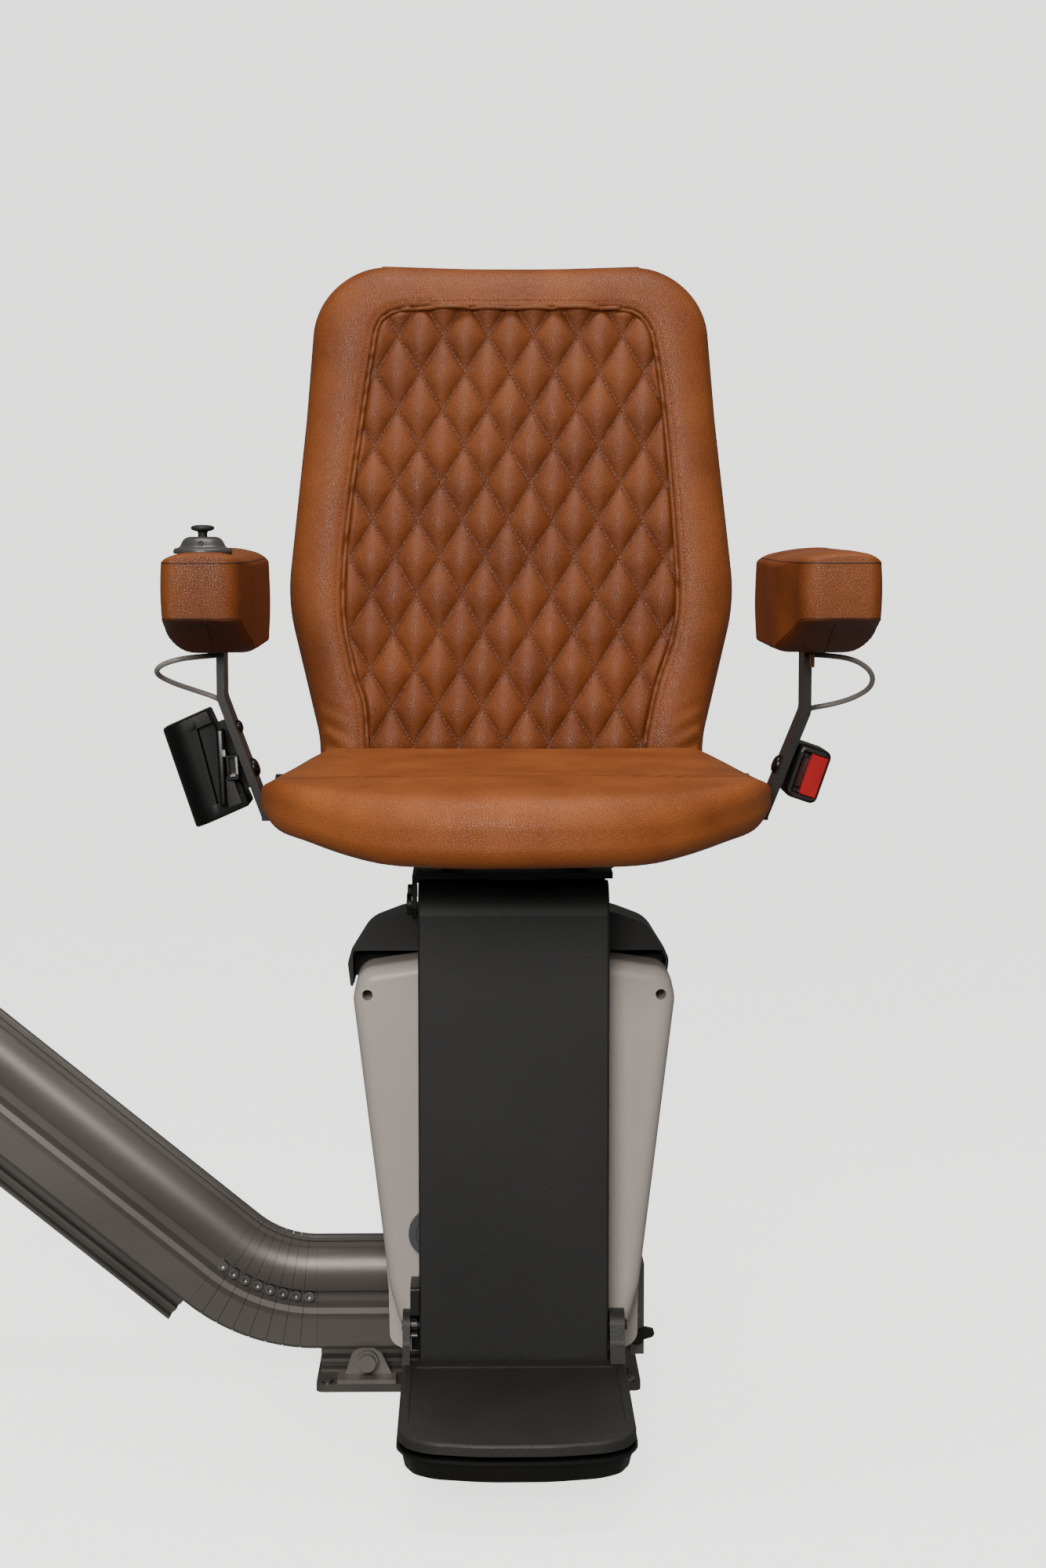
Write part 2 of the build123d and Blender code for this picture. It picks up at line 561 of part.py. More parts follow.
def footrest_drive():
    """Housing beside the apron and the pinion that turns the footrest's gear."""
    y, z = FOOT_AXIS
    left = MID_X - FOOT_W / 2
    x0, x1 = left + 7.3, MID_X - APRON_W / 2
    pinion_z = z + GEAR_MODULE * (GEAR_TEETH + GEAR_PINION_TEETH) / 2 + 0.05
    side = [(-238, 122), (-238, 148), (-195, 148), (-195, 78), (-205, 78), (-205, 122)]
    housing = prism_x(side, x0, x1, [0, 3, 3, 3, 3, 0])
    housing = housing - rod_x(y, pinion_z, 8.6, x0 - 1, x1 - 1) - rod_x(y, z, 13, x0 - 1, x1 + 1)
    housing = housing + rod_x(y, pinion_z, 2.5, x0, x1)
    teeth = gear_outline(GEAR_PINION_TEETH, GEAR_MODULE, -90 + 180 / GEAR_PINION_TEETH)
    pinion = prism_x([(y + a, pinion_z + b) for a, b in teeth], x0, x1 - 1.3)
    pinion = pinion - rod_x(y, pinion_z, 2.5 + RUN, x0, x1)
    return {"footrest_drive_housing": housing, "footrest_pinion": pinion}


# ---- seat ---------------------------------------------------------------------------------------
def seat_frame():
    base = SWIVEL_Z + 0.3
    top = base + 8
    front = -240.0
    frame = rod_z(0, SWIVEL_Y, 62, base, top) + block(-86, 86, front, -196, base + 2, top)
    frame = frame + block(-90, -66, front, -64, base + 2, top) + block(66, 90, front, -64, base + 2, top)
    rail = [(-396, 563.3), (-396, 566.3), (-200, 566.3), (-200, top), (front, top)]
    for x in (-84.0, 66.0):
        frame = frame + prism_x(rail, x, x + 18)
    seat_y, seat_z = SEAT_AXIS
    arm_y, arm_z = ARM_AXIS
    frame = frame + block(-221, 221, -70, -46, 574, 597)
    seat_ear = [(seat_y - 12, 588), (-46, 578), (-46, 597), (seat_y - 12, 612)]
    arm_ear = [(arm_y - 14, 586), (-46, 574), (-46, 597), (arm_y + 14, 614), (arm_y - 14, 614)]
    ears = prism_x(seat_ear, 206, 212, [11, 0, 0, 11]) + prism_x(arm_ear, 212, 221, [10, 0, 0, 12, 12])
    pins = rod_x(seat_y, seat_z, 5, 200.6, 206) + rod_x(arm_y, arm_z, 11, 221, 222.7)
    pins = pins + rod_x(arm_y, arm_z, 7, 221, 232)
    frame = frame + both_sides(ears + pins)
    lean = math.radians(LEAN)
    thick = (BACK_T + SHELL_T + 0.3) / math.cos(lean)
    back = lambda z: BACK_FOOT[0] + (z - BACK_FOOT[1]) * math.tan(lean) + thick
    upright = [(-64, base + 2), (back(600) + 8, base + 2), (back(620) + 8, 620), (back(900) + 8, 900)]
    upright += [(back(900), 900), (back(600), 600), (back(600) - 3, top), (-64, top)]
    for x in (-74.0, 54.0):
        frame = frame + prism_x(upright, x, x + 20) + block(x, x + 20, -70, -46, base + 2, 574)
    frame = frame - rod_z(0, SWIVEL_Y, 15 + RUN, base - 1, top + 1)
    return frame


def on_back(shape):
    """From a backrest drawn upright at the origin to its place."""
    return Pos(BACK_X, *BACK_FOOT) * Rot(-LEAN, 0, 0) * shape


BACK_OUTLINE = [(188, 0), (189, 45), (220, 180), (202, 360), (190.5, 514), (60, 511)]
BACK_RADII = [20, 120, 190, 400, 74, 0]


def backrest_parts():
    outline = mirrored(BACK_OUTLINE)
    radii = BACK_RADII + BACK_RADII[::-1]
    cushion = prism_y(outline, 0, BACK_T, radii)
    cushion = fillet(cushion.faces().sort_by(Axis.Y)[0].edges(), 16)
    cushion = fillet(cushion.faces().sort_by(Axis.Y)[-1].edges(), 14)
    shell = prism_y(mirrored(scaled(BACK_OUTLINE, 16, 12, 16)), BACK_T, BACK_T + SHELL_T, radii)
    shell = chamfer(shell.faces().sort_by(Axis.Y)[-1].edges(), 2)
    return {"backrest_cushion": on_back(cushion), "backrest_shell": on_back(shell)}


def cushion_outline(inset):
    rear = -80.0 - inset
    side = 225.5 - inset
    nose = -470.0 + inset
    back_half = 188.0 - inset
    sides = Polyline((-side, -345, 0), (-back_half, rear, 0), (back_half, rear, 0), (side, -345, 0))
    return make_face(sides + ThreePointArc((side, -345, 0), (0, nose, 0), (-side, -345, 0)))


def seat_parts():
    """Cushion with a bowed underside, and the board and hinge straps below it."""
    body = extrude(Pos(0, 0, 560) * cushion_outline(0), amount=90, dir=(0, 0, 1))
    half = [(120, 571.7), (198, 590), (226, 606), (226, 623), (207, 630), (60, 636)]
    section = prism_y(mirrored(half), -500, -50, [150, 60, 8, 9, 30, 100, 100, 30, 9, 8, 60, 150])
    side = [(-472, 590), (-455, 571), (-80, 571), (-80, 636.5), (-430, 636.5), (-472, 612)]
    profile = prism_x(side, -240, 240, [8, 20, 12, 12, 60, 10])
    body = body & section & profile
    seat_y, seat_z = SEAT_AXIS
    strap = mirrored([(118, 566.5), (200, 582.5), (205, 586.5), (205, 590), (201, 590), (117, 570.3)])
    board = block(-118, 118, -400, -116, 567, 571) + prism_y(strap, -154, -116)
    ear = [(seat_y - 19, 586), (seat_y + 19, 586), (seat_y + 11, 611), (seat_y - 11, 611)]
    ear = prism_x(ear, 201, 205, [0, 0, 9, 9]) - rod_x(seat_y, seat_z, 5 + RUN, 200, 206)
    return {"seat_cushion": body, "seat_pan": board + both_sides(ear)}


# ---- armrests -----------------------------------------------------------------------------------
PAD_FRONT = -400.0
PAD_REAR = -130.0
BOLT_LINE = -238.0
BOLT_TURN = 0.02


def bar_lean(top_x, bend_z):
    """Degrees a bar's lower half leans, its middle at the height BRACKET_Z, half its thickness."""
    slope = (top_x - BAR_LOW_X) / (bend_z - BAR_LOW_Z)
    lean = math.atan(slope)
    half = (BAR_T / 2 + slope) * math.cos(lean)
    return math.degrees(lean), BAR_LOW_X + slope * (BRACKET_Z - BAR_LOW_Z), half


def arm_bar(side, top_x, bend_z):
    """Flat bar: upright under the pad, leaning in towards the seat, level back to the pivot."""
    half = BAR_T / 2
    low = BAR_LOW_X - half
    inner = [(low, 589), (low, BAR_LOW_Z + 1), (top_x - half, bend_z + 1), (top_x - half, 746)]
    low = BAR_LOW_X + half
    outer = [(top_x + half, 746), (top_x + half, bend_z - 1), (low, BAR_LOW_Z - 1), (low, 589)]
    front = [(side * x, z) for x, z in inner + outer]
    bar = prism_y(front, BAR_FRONT, BAR_REAR, [0, 2, 16, 0, 0, 16, 2, 0])
    x0, x1 = sorted((side * (BAR_LOW_X - half), side * (BAR_LOW_X + half)))
    arm_y, arm_z = ARM_AXIS
    level = [(BAR_FRONT, 589), (BAR_FRONT, 611), (-92, 611), (-84, 614)]
    level += [(-60, 614), (-60, 586), (-84, 586), (-92, 589)]
    bar = bar + prism_x(level, x0, x1, [8, 0, 6, 6, 12, 12, 6, 6])
    f0, f1 = sorted((side * (top_x - 5), side * (top_x + 5)))
    bar = bar + block(f0, f1, -300, -190, 743, 746)
    return bar - rod_x(arm_y, arm_z, 7 + RUN, x0 - 1, x1 + 1)


def pad(side, outer, inner_front, inner_rear, crown_x):
    """Armrest pad: straight outside, inside bulging behind the front, wedge-shaped below."""
    section = [(outer, 752), (outer, 829), (crown_x, 834.5), (inner_rear, 829)]
    section += [(inner_rear + 2, 748), (inner_rear + 14, 746.2), (outer - 29, 746.2)]
    body = prism_y([(side * x, z) for x, z in section], PAD_FRONT, PAD_REAR, [24, 8, 40, 8, 10, 4, 20])
    body = body - prism_x([(PAD_FRONT - 1, 740), (PAD_FRONT - 1, 776), (-312, 740)], -400, 400)
    plan = [(outer, PAD_FRONT), (outer, PAD_REAR), (inner_rear, PAD_REAR)]
    plan += [(inner_rear, -330), (inner_front, -372), (inner_front, PAD_FRONT)]
    limits = prism_z([(side * x, y) for x, y in plan], 740, 840, [12, 26, 26, 30, 20, 12])
    return body & limits


def cable_route(points):
    """Arcs as large as the runs allow, one for each corner of the route."""
    radii = []
    for a, b, c in zip(points, points[1:], points[2:]):
        before = Vector(*b) - Vector(*a)
        after = Vector(*c) - Vector(*b)
        half_turn = math.radians(before.get_angle(after)) / 2
        radii.append(0.45 * min(before.length, after.length) / math.tan(half_turn))
    return FilletPolyline(*points, radius=radii), radii


def cable(name, points):
    path, radii = cable_route(points)
    section = Plane(origin=path @ 0, z_dir=path % 0) * Circle(CABLE_D / 2)
    tube = sweep(section, path=path)
    expected = math.pi * CABLE_D**2 / 4 * path.length
    print(name, "radii", [round(r, 1) for r in radii], "length", round(path.length, 1))
    print(name, "volume", round(tube.volume, 1), "section times length", round(expected, 1))
    return tube


LEFT_CABLE = [
    (-272.5, -238.0, 738.0),
    (-287.0, -252.0, 737.5),
    (-306.0, -262.0, 735.5),
    (-323.0, -256.0, 729.0),
    (-327.0, -238.0, 720.5),
    (-313.0, -221.0, 711.5),
    (-294.0, -208.0, 704.0),
    (-273.0, -204.5, 696.5),
    (-261.5, -217.0, 690.0),
]
RIGHT_CABLE = [
    (271.0, -236.0, 738.0),
    (288.0, -250.0, 738.0),
    (309.0, -259.0, 734.5),
    (325.0, -253.0, 723.0),
    (327.5, -236.0, 709.0),
    (315.0, -219.0, 698.0),
    (295.0, -208.0, 690.5),
    (274.0, -205.0, 687.0),
    (263.0, -217.0, 684.5),
]


def reel_face(share):
    """Front view of the belt reel, shrunk about its middle to a share of its size."""
    corners = [(-319.2, 672.5), (-280.1, 690.2), (-239.5, 603.0), (-290.4, 584.7)]
    x, z = REEL_MIDDLE
    return [(x + (a - x) * share, z + (b - z) * share) for a, b in corners]


def belt_parts():
    """Reel with spool and tongue on the left bar, buckle and red button on the right bar."""
    x, z = REEL_MIDDLE
    lean, middle, face = bar_lean(*LEFT_BAR)
    on_bar = lambda shape: Pos(-middle, 0, BRACKET_Z) * Rot(0, -lean, 0) * shape
    reel = prism_y(reel_face(1.0), -262, -206, [4, 4, 4, 4])
    reel = chamfer(reel.faces().sort_by(Axis.Y)[0].edges(), 2)
    reel = reel + on_bar(block(-16, -face, -250, -226, -22, 44))
    reel = reel - prism_y(reel_face(0.84), -257, -211, [4, 4, 4, 4])
    slot = lambda grow: block(6 - grow, 17 + grow, -264, -255, -20 - grow, 26 + grow)
    on_reel = lambda shape: Pos(x, 0, z) * Rot(0, -REEL_TILT, 0) * shape
    reel = reel - on_reel(slot(0))
    spool = rod_y(x - 4, z, 14, -249, -219) + rod_y(x - 4, z, 5, -256.9, -211.1)
    tongue = block(8, 17, -274, -262.3, -12, 28) + block(11, 14.5, -271, -264, -34, -12)
    tongue = tongue - block(10, 15, -275, -271, 14, 25)
    bolts = []
    holes = []
    for along, head_r, head_t, shank_r in ((-6.0, 9.0, 4.5, 4.0), (34.0, 6.0, 3.5, 3.0)):
        bolt = rod_x(BOLT_LINE, along, head_r, face, face + head_t)
        bolt = bolt + rod_x(BOLT_LINE, along, shank_r, -9, face)
        bolts.append(on_bar(bolt))
        holes.append(on_bar(rod_x(BOLT_LINE, along, shank_r + BOLT_TURN, -9, 5)))
    for hole in holes:
        reel = reel - hole
    lean, middle, face = bar_lean(*RIGHT_BAR)
    on_bar = lambda shape: Pos(middle, 0, BRACKET_Z) * Rot(0, lean, 0) * shape
    bolt = rod_x(BOLT_LINE, -4, 9, -face - 4.5, -face) + rod_x(BOLT_LINE, -4, 4, -face, 11)
    bolt = on_bar(bolt)
    at_buckle = lambda shape: Pos(*BUCKLE_CORNER) * Rot(0, BUCKLE_TILT, 0) * shape
    buckle = block(0, 31, -268, -206, -50, 0)
    buckle = fillet(buckle.edges().filter_by(Axis.Y), 5)
    buckle = at_buckle(buckle - block(11, 28, -269, -252, -45, -5))
    buckle = buckle - on_bar(rod_x(BOLT_LINE, -4, 4 + BOLT_TURN, 0, 11))
    button = at_buckle(block(11.3, 27.7, -268.6, -257, -44.7, -5.3))
    return {
        "belt_reel": reel,
        "belt_spool": spool,
        "belt_tongue": on_reel(tongue),
        "reel_bolts": group(bolts),
        "belt_buckle": buckle,
        "buckle_button": button,
        "buckle_bolt": bolt,
        "bar_holes": {-1: holes, 1: [on_bar(rod_x(BOLT_LINE, -4, 4 + BOLT_TURN, -9, 5))]},
    }


def armrests():
    parts = belt_parts()
    holes = parts.pop("bar_holes")
    left_bar = arm_bar(-1, *LEFT_BAR) - holes[-1]
    right_bar = arm_bar(1, *RIGHT_BAR) - holes[1]
    x, y, z = JOYSTICK
    base = rod_z(x, y, 26.5, z, z + 3) + Pos(x, y, z + 8.5) * Cone(20.5, 16, 11)
    base = base - rod_z(x, y, 9.5, z - 1, z + 15)
    stick = rod_z(x, y, 4.2, z + 4, z + 20) + Pos(x, y, z + 7) * Sphere(6.5)
    stick = stick + rod_z(x, y, 10.2, z + 20, z + 25)
    top = fillet(stick.faces().sort_by(Axis.Z)[-1].edges(), 1.5)
    left_pad = pad(-1, 304.5, 237.0, 230.5, 268.0) - rod_z(x, y, 27, z, z + 5) - rod_z(x, y, 9.5, z - 6, z)
    parts["left_arm_bar"] = left_bar
    parts["left_arm_pad"] = left_pad
    parts["joystick_base"] = base
    parts["joystick"] = top
    parts["left_cable"] = cable("left_cable", LEFT_CABLE)
    parts["right_arm_bar"] = right_bar
    parts["right_arm_pad"] = pad(1, 312.5, 242.0, 229.5, 288.0)
    parts["right_cable"] = cable("right_cable", RIGHT_CABLE)
    return parts


# ---- all nodes ----------------------------------------------------------------------------------
def all_parts():
    parts = rail_parts()
    parts["drive_rack"] = drive_rack()
    parts.update(base_parts())
    parts.update(rail_end_parts())
    parts.update(carriage_parts())
    parts.update(rollers())
    parts["drive_pinion"] = drive_pinion()
    parts.update(cover_parts())
    parts.update(power_parts())
    parts["apron"] = apron()
    parts.update(seat_support())
    parts.update(footrest_parts())
    parts.update(footrest_drive())
    parts["seat_frame"] = seat_frame()
    parts.update(backrest_parts())
    parts.update(seat_parts())
    parts.update(armrests())
    return parts


os.makedirs("parts", exist_ok=True)
for node, shape in all_parts().items():
    export_step(shape, "parts/" + node + ".step")
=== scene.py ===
import json
import math

import bmesh
import bpy
from mathutils import Matrix, Vector, noise
from mathutils.bvhtree import BVHTree
from mathutils.geometry import interpolate_bezier
from mathutils.kdtree import KDTree

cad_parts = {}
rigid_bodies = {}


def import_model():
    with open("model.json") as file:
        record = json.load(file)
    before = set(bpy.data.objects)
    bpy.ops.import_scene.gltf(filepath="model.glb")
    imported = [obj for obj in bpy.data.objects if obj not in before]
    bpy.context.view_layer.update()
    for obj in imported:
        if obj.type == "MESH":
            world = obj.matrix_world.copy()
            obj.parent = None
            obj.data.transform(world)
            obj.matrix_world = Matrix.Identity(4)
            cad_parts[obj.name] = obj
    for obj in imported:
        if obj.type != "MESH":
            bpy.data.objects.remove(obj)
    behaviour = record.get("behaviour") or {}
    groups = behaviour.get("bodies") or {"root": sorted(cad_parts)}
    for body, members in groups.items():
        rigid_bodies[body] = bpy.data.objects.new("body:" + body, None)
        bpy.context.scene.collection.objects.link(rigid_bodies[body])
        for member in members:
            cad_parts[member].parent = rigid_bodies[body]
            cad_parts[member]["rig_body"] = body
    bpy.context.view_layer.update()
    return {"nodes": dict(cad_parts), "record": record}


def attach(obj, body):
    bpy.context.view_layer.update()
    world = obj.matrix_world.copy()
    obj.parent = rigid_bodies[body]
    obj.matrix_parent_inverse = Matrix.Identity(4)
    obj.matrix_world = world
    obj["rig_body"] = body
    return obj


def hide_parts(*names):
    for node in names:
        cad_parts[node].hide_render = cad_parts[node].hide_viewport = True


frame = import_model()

NODES = frame["nodes"]
SCENE = bpy.context.scene
MM = 0.001
TO_METRES = Matrix.Scale(MM, 4)


# ---- camera and cords ---------------------------------------------------------------------------
SENSOR = 36  # mm, the frame's height
LENS = 65  # mm
CAMERA_AT = (-0.036, -2.820, 0.87023)
LOOK_DOWN = 5.54  # degrees
LOOK_RIGHT = 0.0168  # radians


def make_camera():
    """The photograph's view: a long lens from the front, a little above the seat."""
    data = bpy.data.cameras.new("camera")
    data.sensor_fit = "VERTICAL"
    data.sensor_height = SENSOR
    data.lens = LENS
    camera = bpy.data.objects.new("camera", data)
    camera.location = CAMERA_AT
    camera.rotation_euler = (math.radians(90 - LOOK_DOWN), 0, -LOOK_RIGHT)
    SCENE.collection.objects.link(camera)
    SCENE.camera = camera


CABLE_D = 5.0
LEFT_CABLE = [
    (-272.5, -238.0, 738.0),
    (-287.0, -252.0, 737.5),
    (-306.0, -262.0, 735.5),
    (-323.0, -256.0, 729.0),
    (-327.0, -238.0, 720.5),
    (-313.0, -221.0, 711.5),
    (-294.0, -208.0, 704.0),
    (-273.0, -204.5, 696.5),
    (-261.5, -217.0, 690.0),
]
RIGHT_CABLE = [
    (271.0, -236.0, 738.0),
    (288.0, -250.0, 738.0),
    (309.0, -259.0, 734.5),
    (325.0, -253.0, 723.0),
    (327.5, -236.0, 709.0),
    (315.0, -219.0, 698.0),
    (295.0, -208.0, 690.5),
    (274.0, -205.0, 687.0),
    (263.0, -217.0, 684.5),
]


def make_cable(name, points, node, body):
    """Round lead in a loop from under the armrest pad to the rear of the arm's bar."""
    curve = bpy.data.curves.new(name, "CURVE")
    curve.dimensions = "3D"
    curve.bevel_depth = 1.0  # each point's radius gives the real one, so the curve's box is the cable's box
    curve.bevel_resolution = 4
    curve.resolution_u = 12
    curve.use_fill_caps = True
    line = curve.splines.new("NURBS")
    line.points.add(len(points) - 1)
    for point, place in zip(line.points, points):
        point.co = (place[0] * MM, place[1] * MM, place[2] * MM, 1)
        point.radius = CABLE_D / 2 * MM
    line.order_u = 3
    line.use_endpoint_u = True
    lead = bpy.data.objects.new(name, curve)
    SCENE.collection.objects.link(lead)
    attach(lead, body)
    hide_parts(node)
    start = [c * MM for c in points[0]]
    return lead


make_camera()
LEADS = [
    make_cable("left_lead", LEFT_CABLE, "left_cable", "left_arm"),
    make_cable("right_lead", RIGHT_CABLE, "right_cable", "right_arm"),
]


# ---- materials ----------------------------------------------------------------------------------
def linear(colour):
    """Linear RGBA of an sRGB hex colour."""
    parts = [int(colour[k : k + 2], 16) / 255 for k in (1, 3, 5)]
    return (*[p / 12.92 if p <= 0.04045 else ((p + 0.055) / 1.055) ** 2.4 for p in parts], 1.0)


def add(tree, kind, values=None, **settings):
    """A shader node with its settings; a value is a number, a colour or the socket it's linked to."""
    node = tree.nodes.new("ShaderNode" + kind)
    for key, value in settings.items():
        setattr(node, key, value)
    for key, value in (values or {}).items():
        if isinstance(value, bpy.types.NodeSocket):
            tree.links.new(value, node.inputs[key])
        else:
            node.inputs[key].default_value = value
    return node


def new_tree(name):
    material = bpy.data.materials.new(name)
    material.use_nodes = True
    material.node_tree.nodes.clear()
    return material, material.node_tree


def shade(tree, colour, rough, normal, **more):
    """Ends a node tree in one Principled surface."""
    values = {"Base Color": colour, "Roughness": rough, "Normal": normal}
    values.update({key.replace("_", " "): value for key, value in more.items()})
    surface = add(tree, "BsdfPrincipled", values)
    add(tree, "OutputMaterial", {"Surface": surface.outputs["BSDF"]})


def tones(tree, share, dark, light):
    """Colour between two tones."""
    mixed = add(tree, "Mix", {0: share, 6: linear(dark), 7: linear(light)}, data_type="RGBA")
    return mixed.outputs[2]


def coated(name, dark, light, rough, cloud=70.0, grain=1.6, deep=0.04, stretch=(1, 1, 1), **more):
    """Surface with soft clouds of tone and gloss (size cloud) over a fine grain (size grain), in mm."""
    material, tree = new_tree(name)
    place = add(tree, "TexCoord").outputs["Object"]
    place = add(tree, "Mapping", {"Vector": place, "Scale": stretch}).outputs["Vector"]
    clouds = add(tree, "TexNoise", {"Vector": place, "Scale": 1000 / cloud, "Detail": 4.0})
    specks = add(tree, "TexNoise", {"Vector": place, "Scale": 1000 / grain, "Detail": 2.0})
    share = add(tree, "MapRange", {"Value": clouds.outputs["Fac"], "From Min": 0.3, "From Max": 0.7})
    gloss = {"Value": specks.outputs["Fac"], "To Min": rough - 0.08, "To Max": rough + 0.08}
    gloss = add(tree, "MapRange", gloss).outputs["Result"]
    bump = {"Height": specks.outputs["Fac"], "Distance": deep * MM, "Strength": 1.0}
    normal = add(tree, "Bump", bump).outputs["Normal"]
    shade(tree, tones(tree, share.outputs["Result"], dark, light), gloss, normal, **more)
    return material


HIDE_CLOUD = 62.5  # mm across a patch of tone in the hide
PEBBLE = 2.4  # mm; the real ones are about 1 mm, drawn larger so that a small picture still shows them


def leather(name, dark, light, painted_shade_colour=None, panel=None):
    """Drum-dyed leather: cloudy brown, pebble grain with darker creases, soft shine on the crowns."""
    material, tree = new_tree(name)
    place = add(tree, "TexCoord").outputs["Object"]
    clouds = add(tree, "TexNoise", {"Vector": place, "Scale": 1000 / HIDE_CLOUD, "Detail": 5.0})
    share = add(tree, "MapRange", {"Value": clouds.outputs["Fac"], "From Min": 0.32, "From Max": 0.68})
    colour = tones(tree, share.outputs["Result"], dark, light)
    if panel:
        inside = add(tree, "Attribute", attribute_name="panel").outputs["Fac"]
        values = {0: inside, 6: colour, 7: tones(tree, share.outputs["Result"], *panel)}
        colour = add(tree, "Mix", values, data_type="RGBA").outputs[2]
    wobble = add(tree, "TexNoise", {"Vector": place, "Scale": 120.0, "Detail": 2.0})
    bent = {0: wobble.outputs["Color"], 1: (0.002, 0.002, 0.002), 2: place}
    bent = add(tree, "VectorMath", bent, operation="MULTIPLY_ADD")
    cells = {"Vector": bent.outputs["Vector"], "Scale": 1000 / PEBBLE}
    cells = add(tree, "TexVoronoi", cells, feature="DISTANCE_TO_EDGE").outputs["Distance"]
    pebble = add(tree, "MapRange", {"Value": cells, "From Max": 0.16}).outputs["Result"]
    crease_and_painted_shade = add(tree, "MapRange", {"Value": pebble, "To Min": 0.8, "To Max": 1.03}).outputs["Result"]
    colour = add(tree, "VectorMath", {0: colour, 3: crease_and_painted_shade}, operation="SCALE").outputs["Vector"]
    # painted shade: where the crease attribute is set, the colour is mixed towards a dark tone that stands in
    # for shade in seams, creases and shaded sides
    if painted_shade_colour:
        depth = add(tree, "Attribute", attribute_name="crease_and_painted_shade").outputs["Fac"]
        colour = add(tree, "Mix", {0: depth, 6: colour, 7: linear(painted_shade_colour)}, data_type="RGBA").outputs[2]
    bump = {"Height": pebble, "Distance": 0.2 * MM, "Strength": 0.9}
    fine = add(tree, "Bump", bump).outputs["Normal"]
    bump = {"Height": clouds.outputs["Fac"], "Distance": 1.0 * MM, "Strength": 0.3, "Normal": fine}
    normal = add(tree, "Bump", bump).outputs["Normal"]
    gloss = {"Value": clouds.outputs["Fac"], "To Min": 0.38, "To Max": 0.54}
    gloss = add(tree, "MapRange", gloss).outputs["Result"]
    shade(tree, colour, gloss, normal, Specular_IOR_Level=0.36)
    return material


def plywood(name):
    """Plywood painted near black as shade under the seat: the long grain only just shows."""
    material, tree = new_tree(name)
    place = add(tree, "TexCoord").outputs["Object"]
    place = add(tree, "Mapping", {"Vector": place, "Scale": (1, 9, 9)}).outputs["Vector"]
    rings = add(tree, "TexWave", {"Vector": place, "Scale": 9.0, "Distortion": 9.0, "Detail": 3.0})
    colour = tones(tree, rings.outputs["Fac"], "#14100c", "#211a14")
    bump = {"Height": rings.outputs["Fac"], "Distance": 0.1 * MM, "Strength": 0.6}
    shade(tree, colour, 0.7, add(tree, "Bump", bump).outputs["Normal"])
    return material


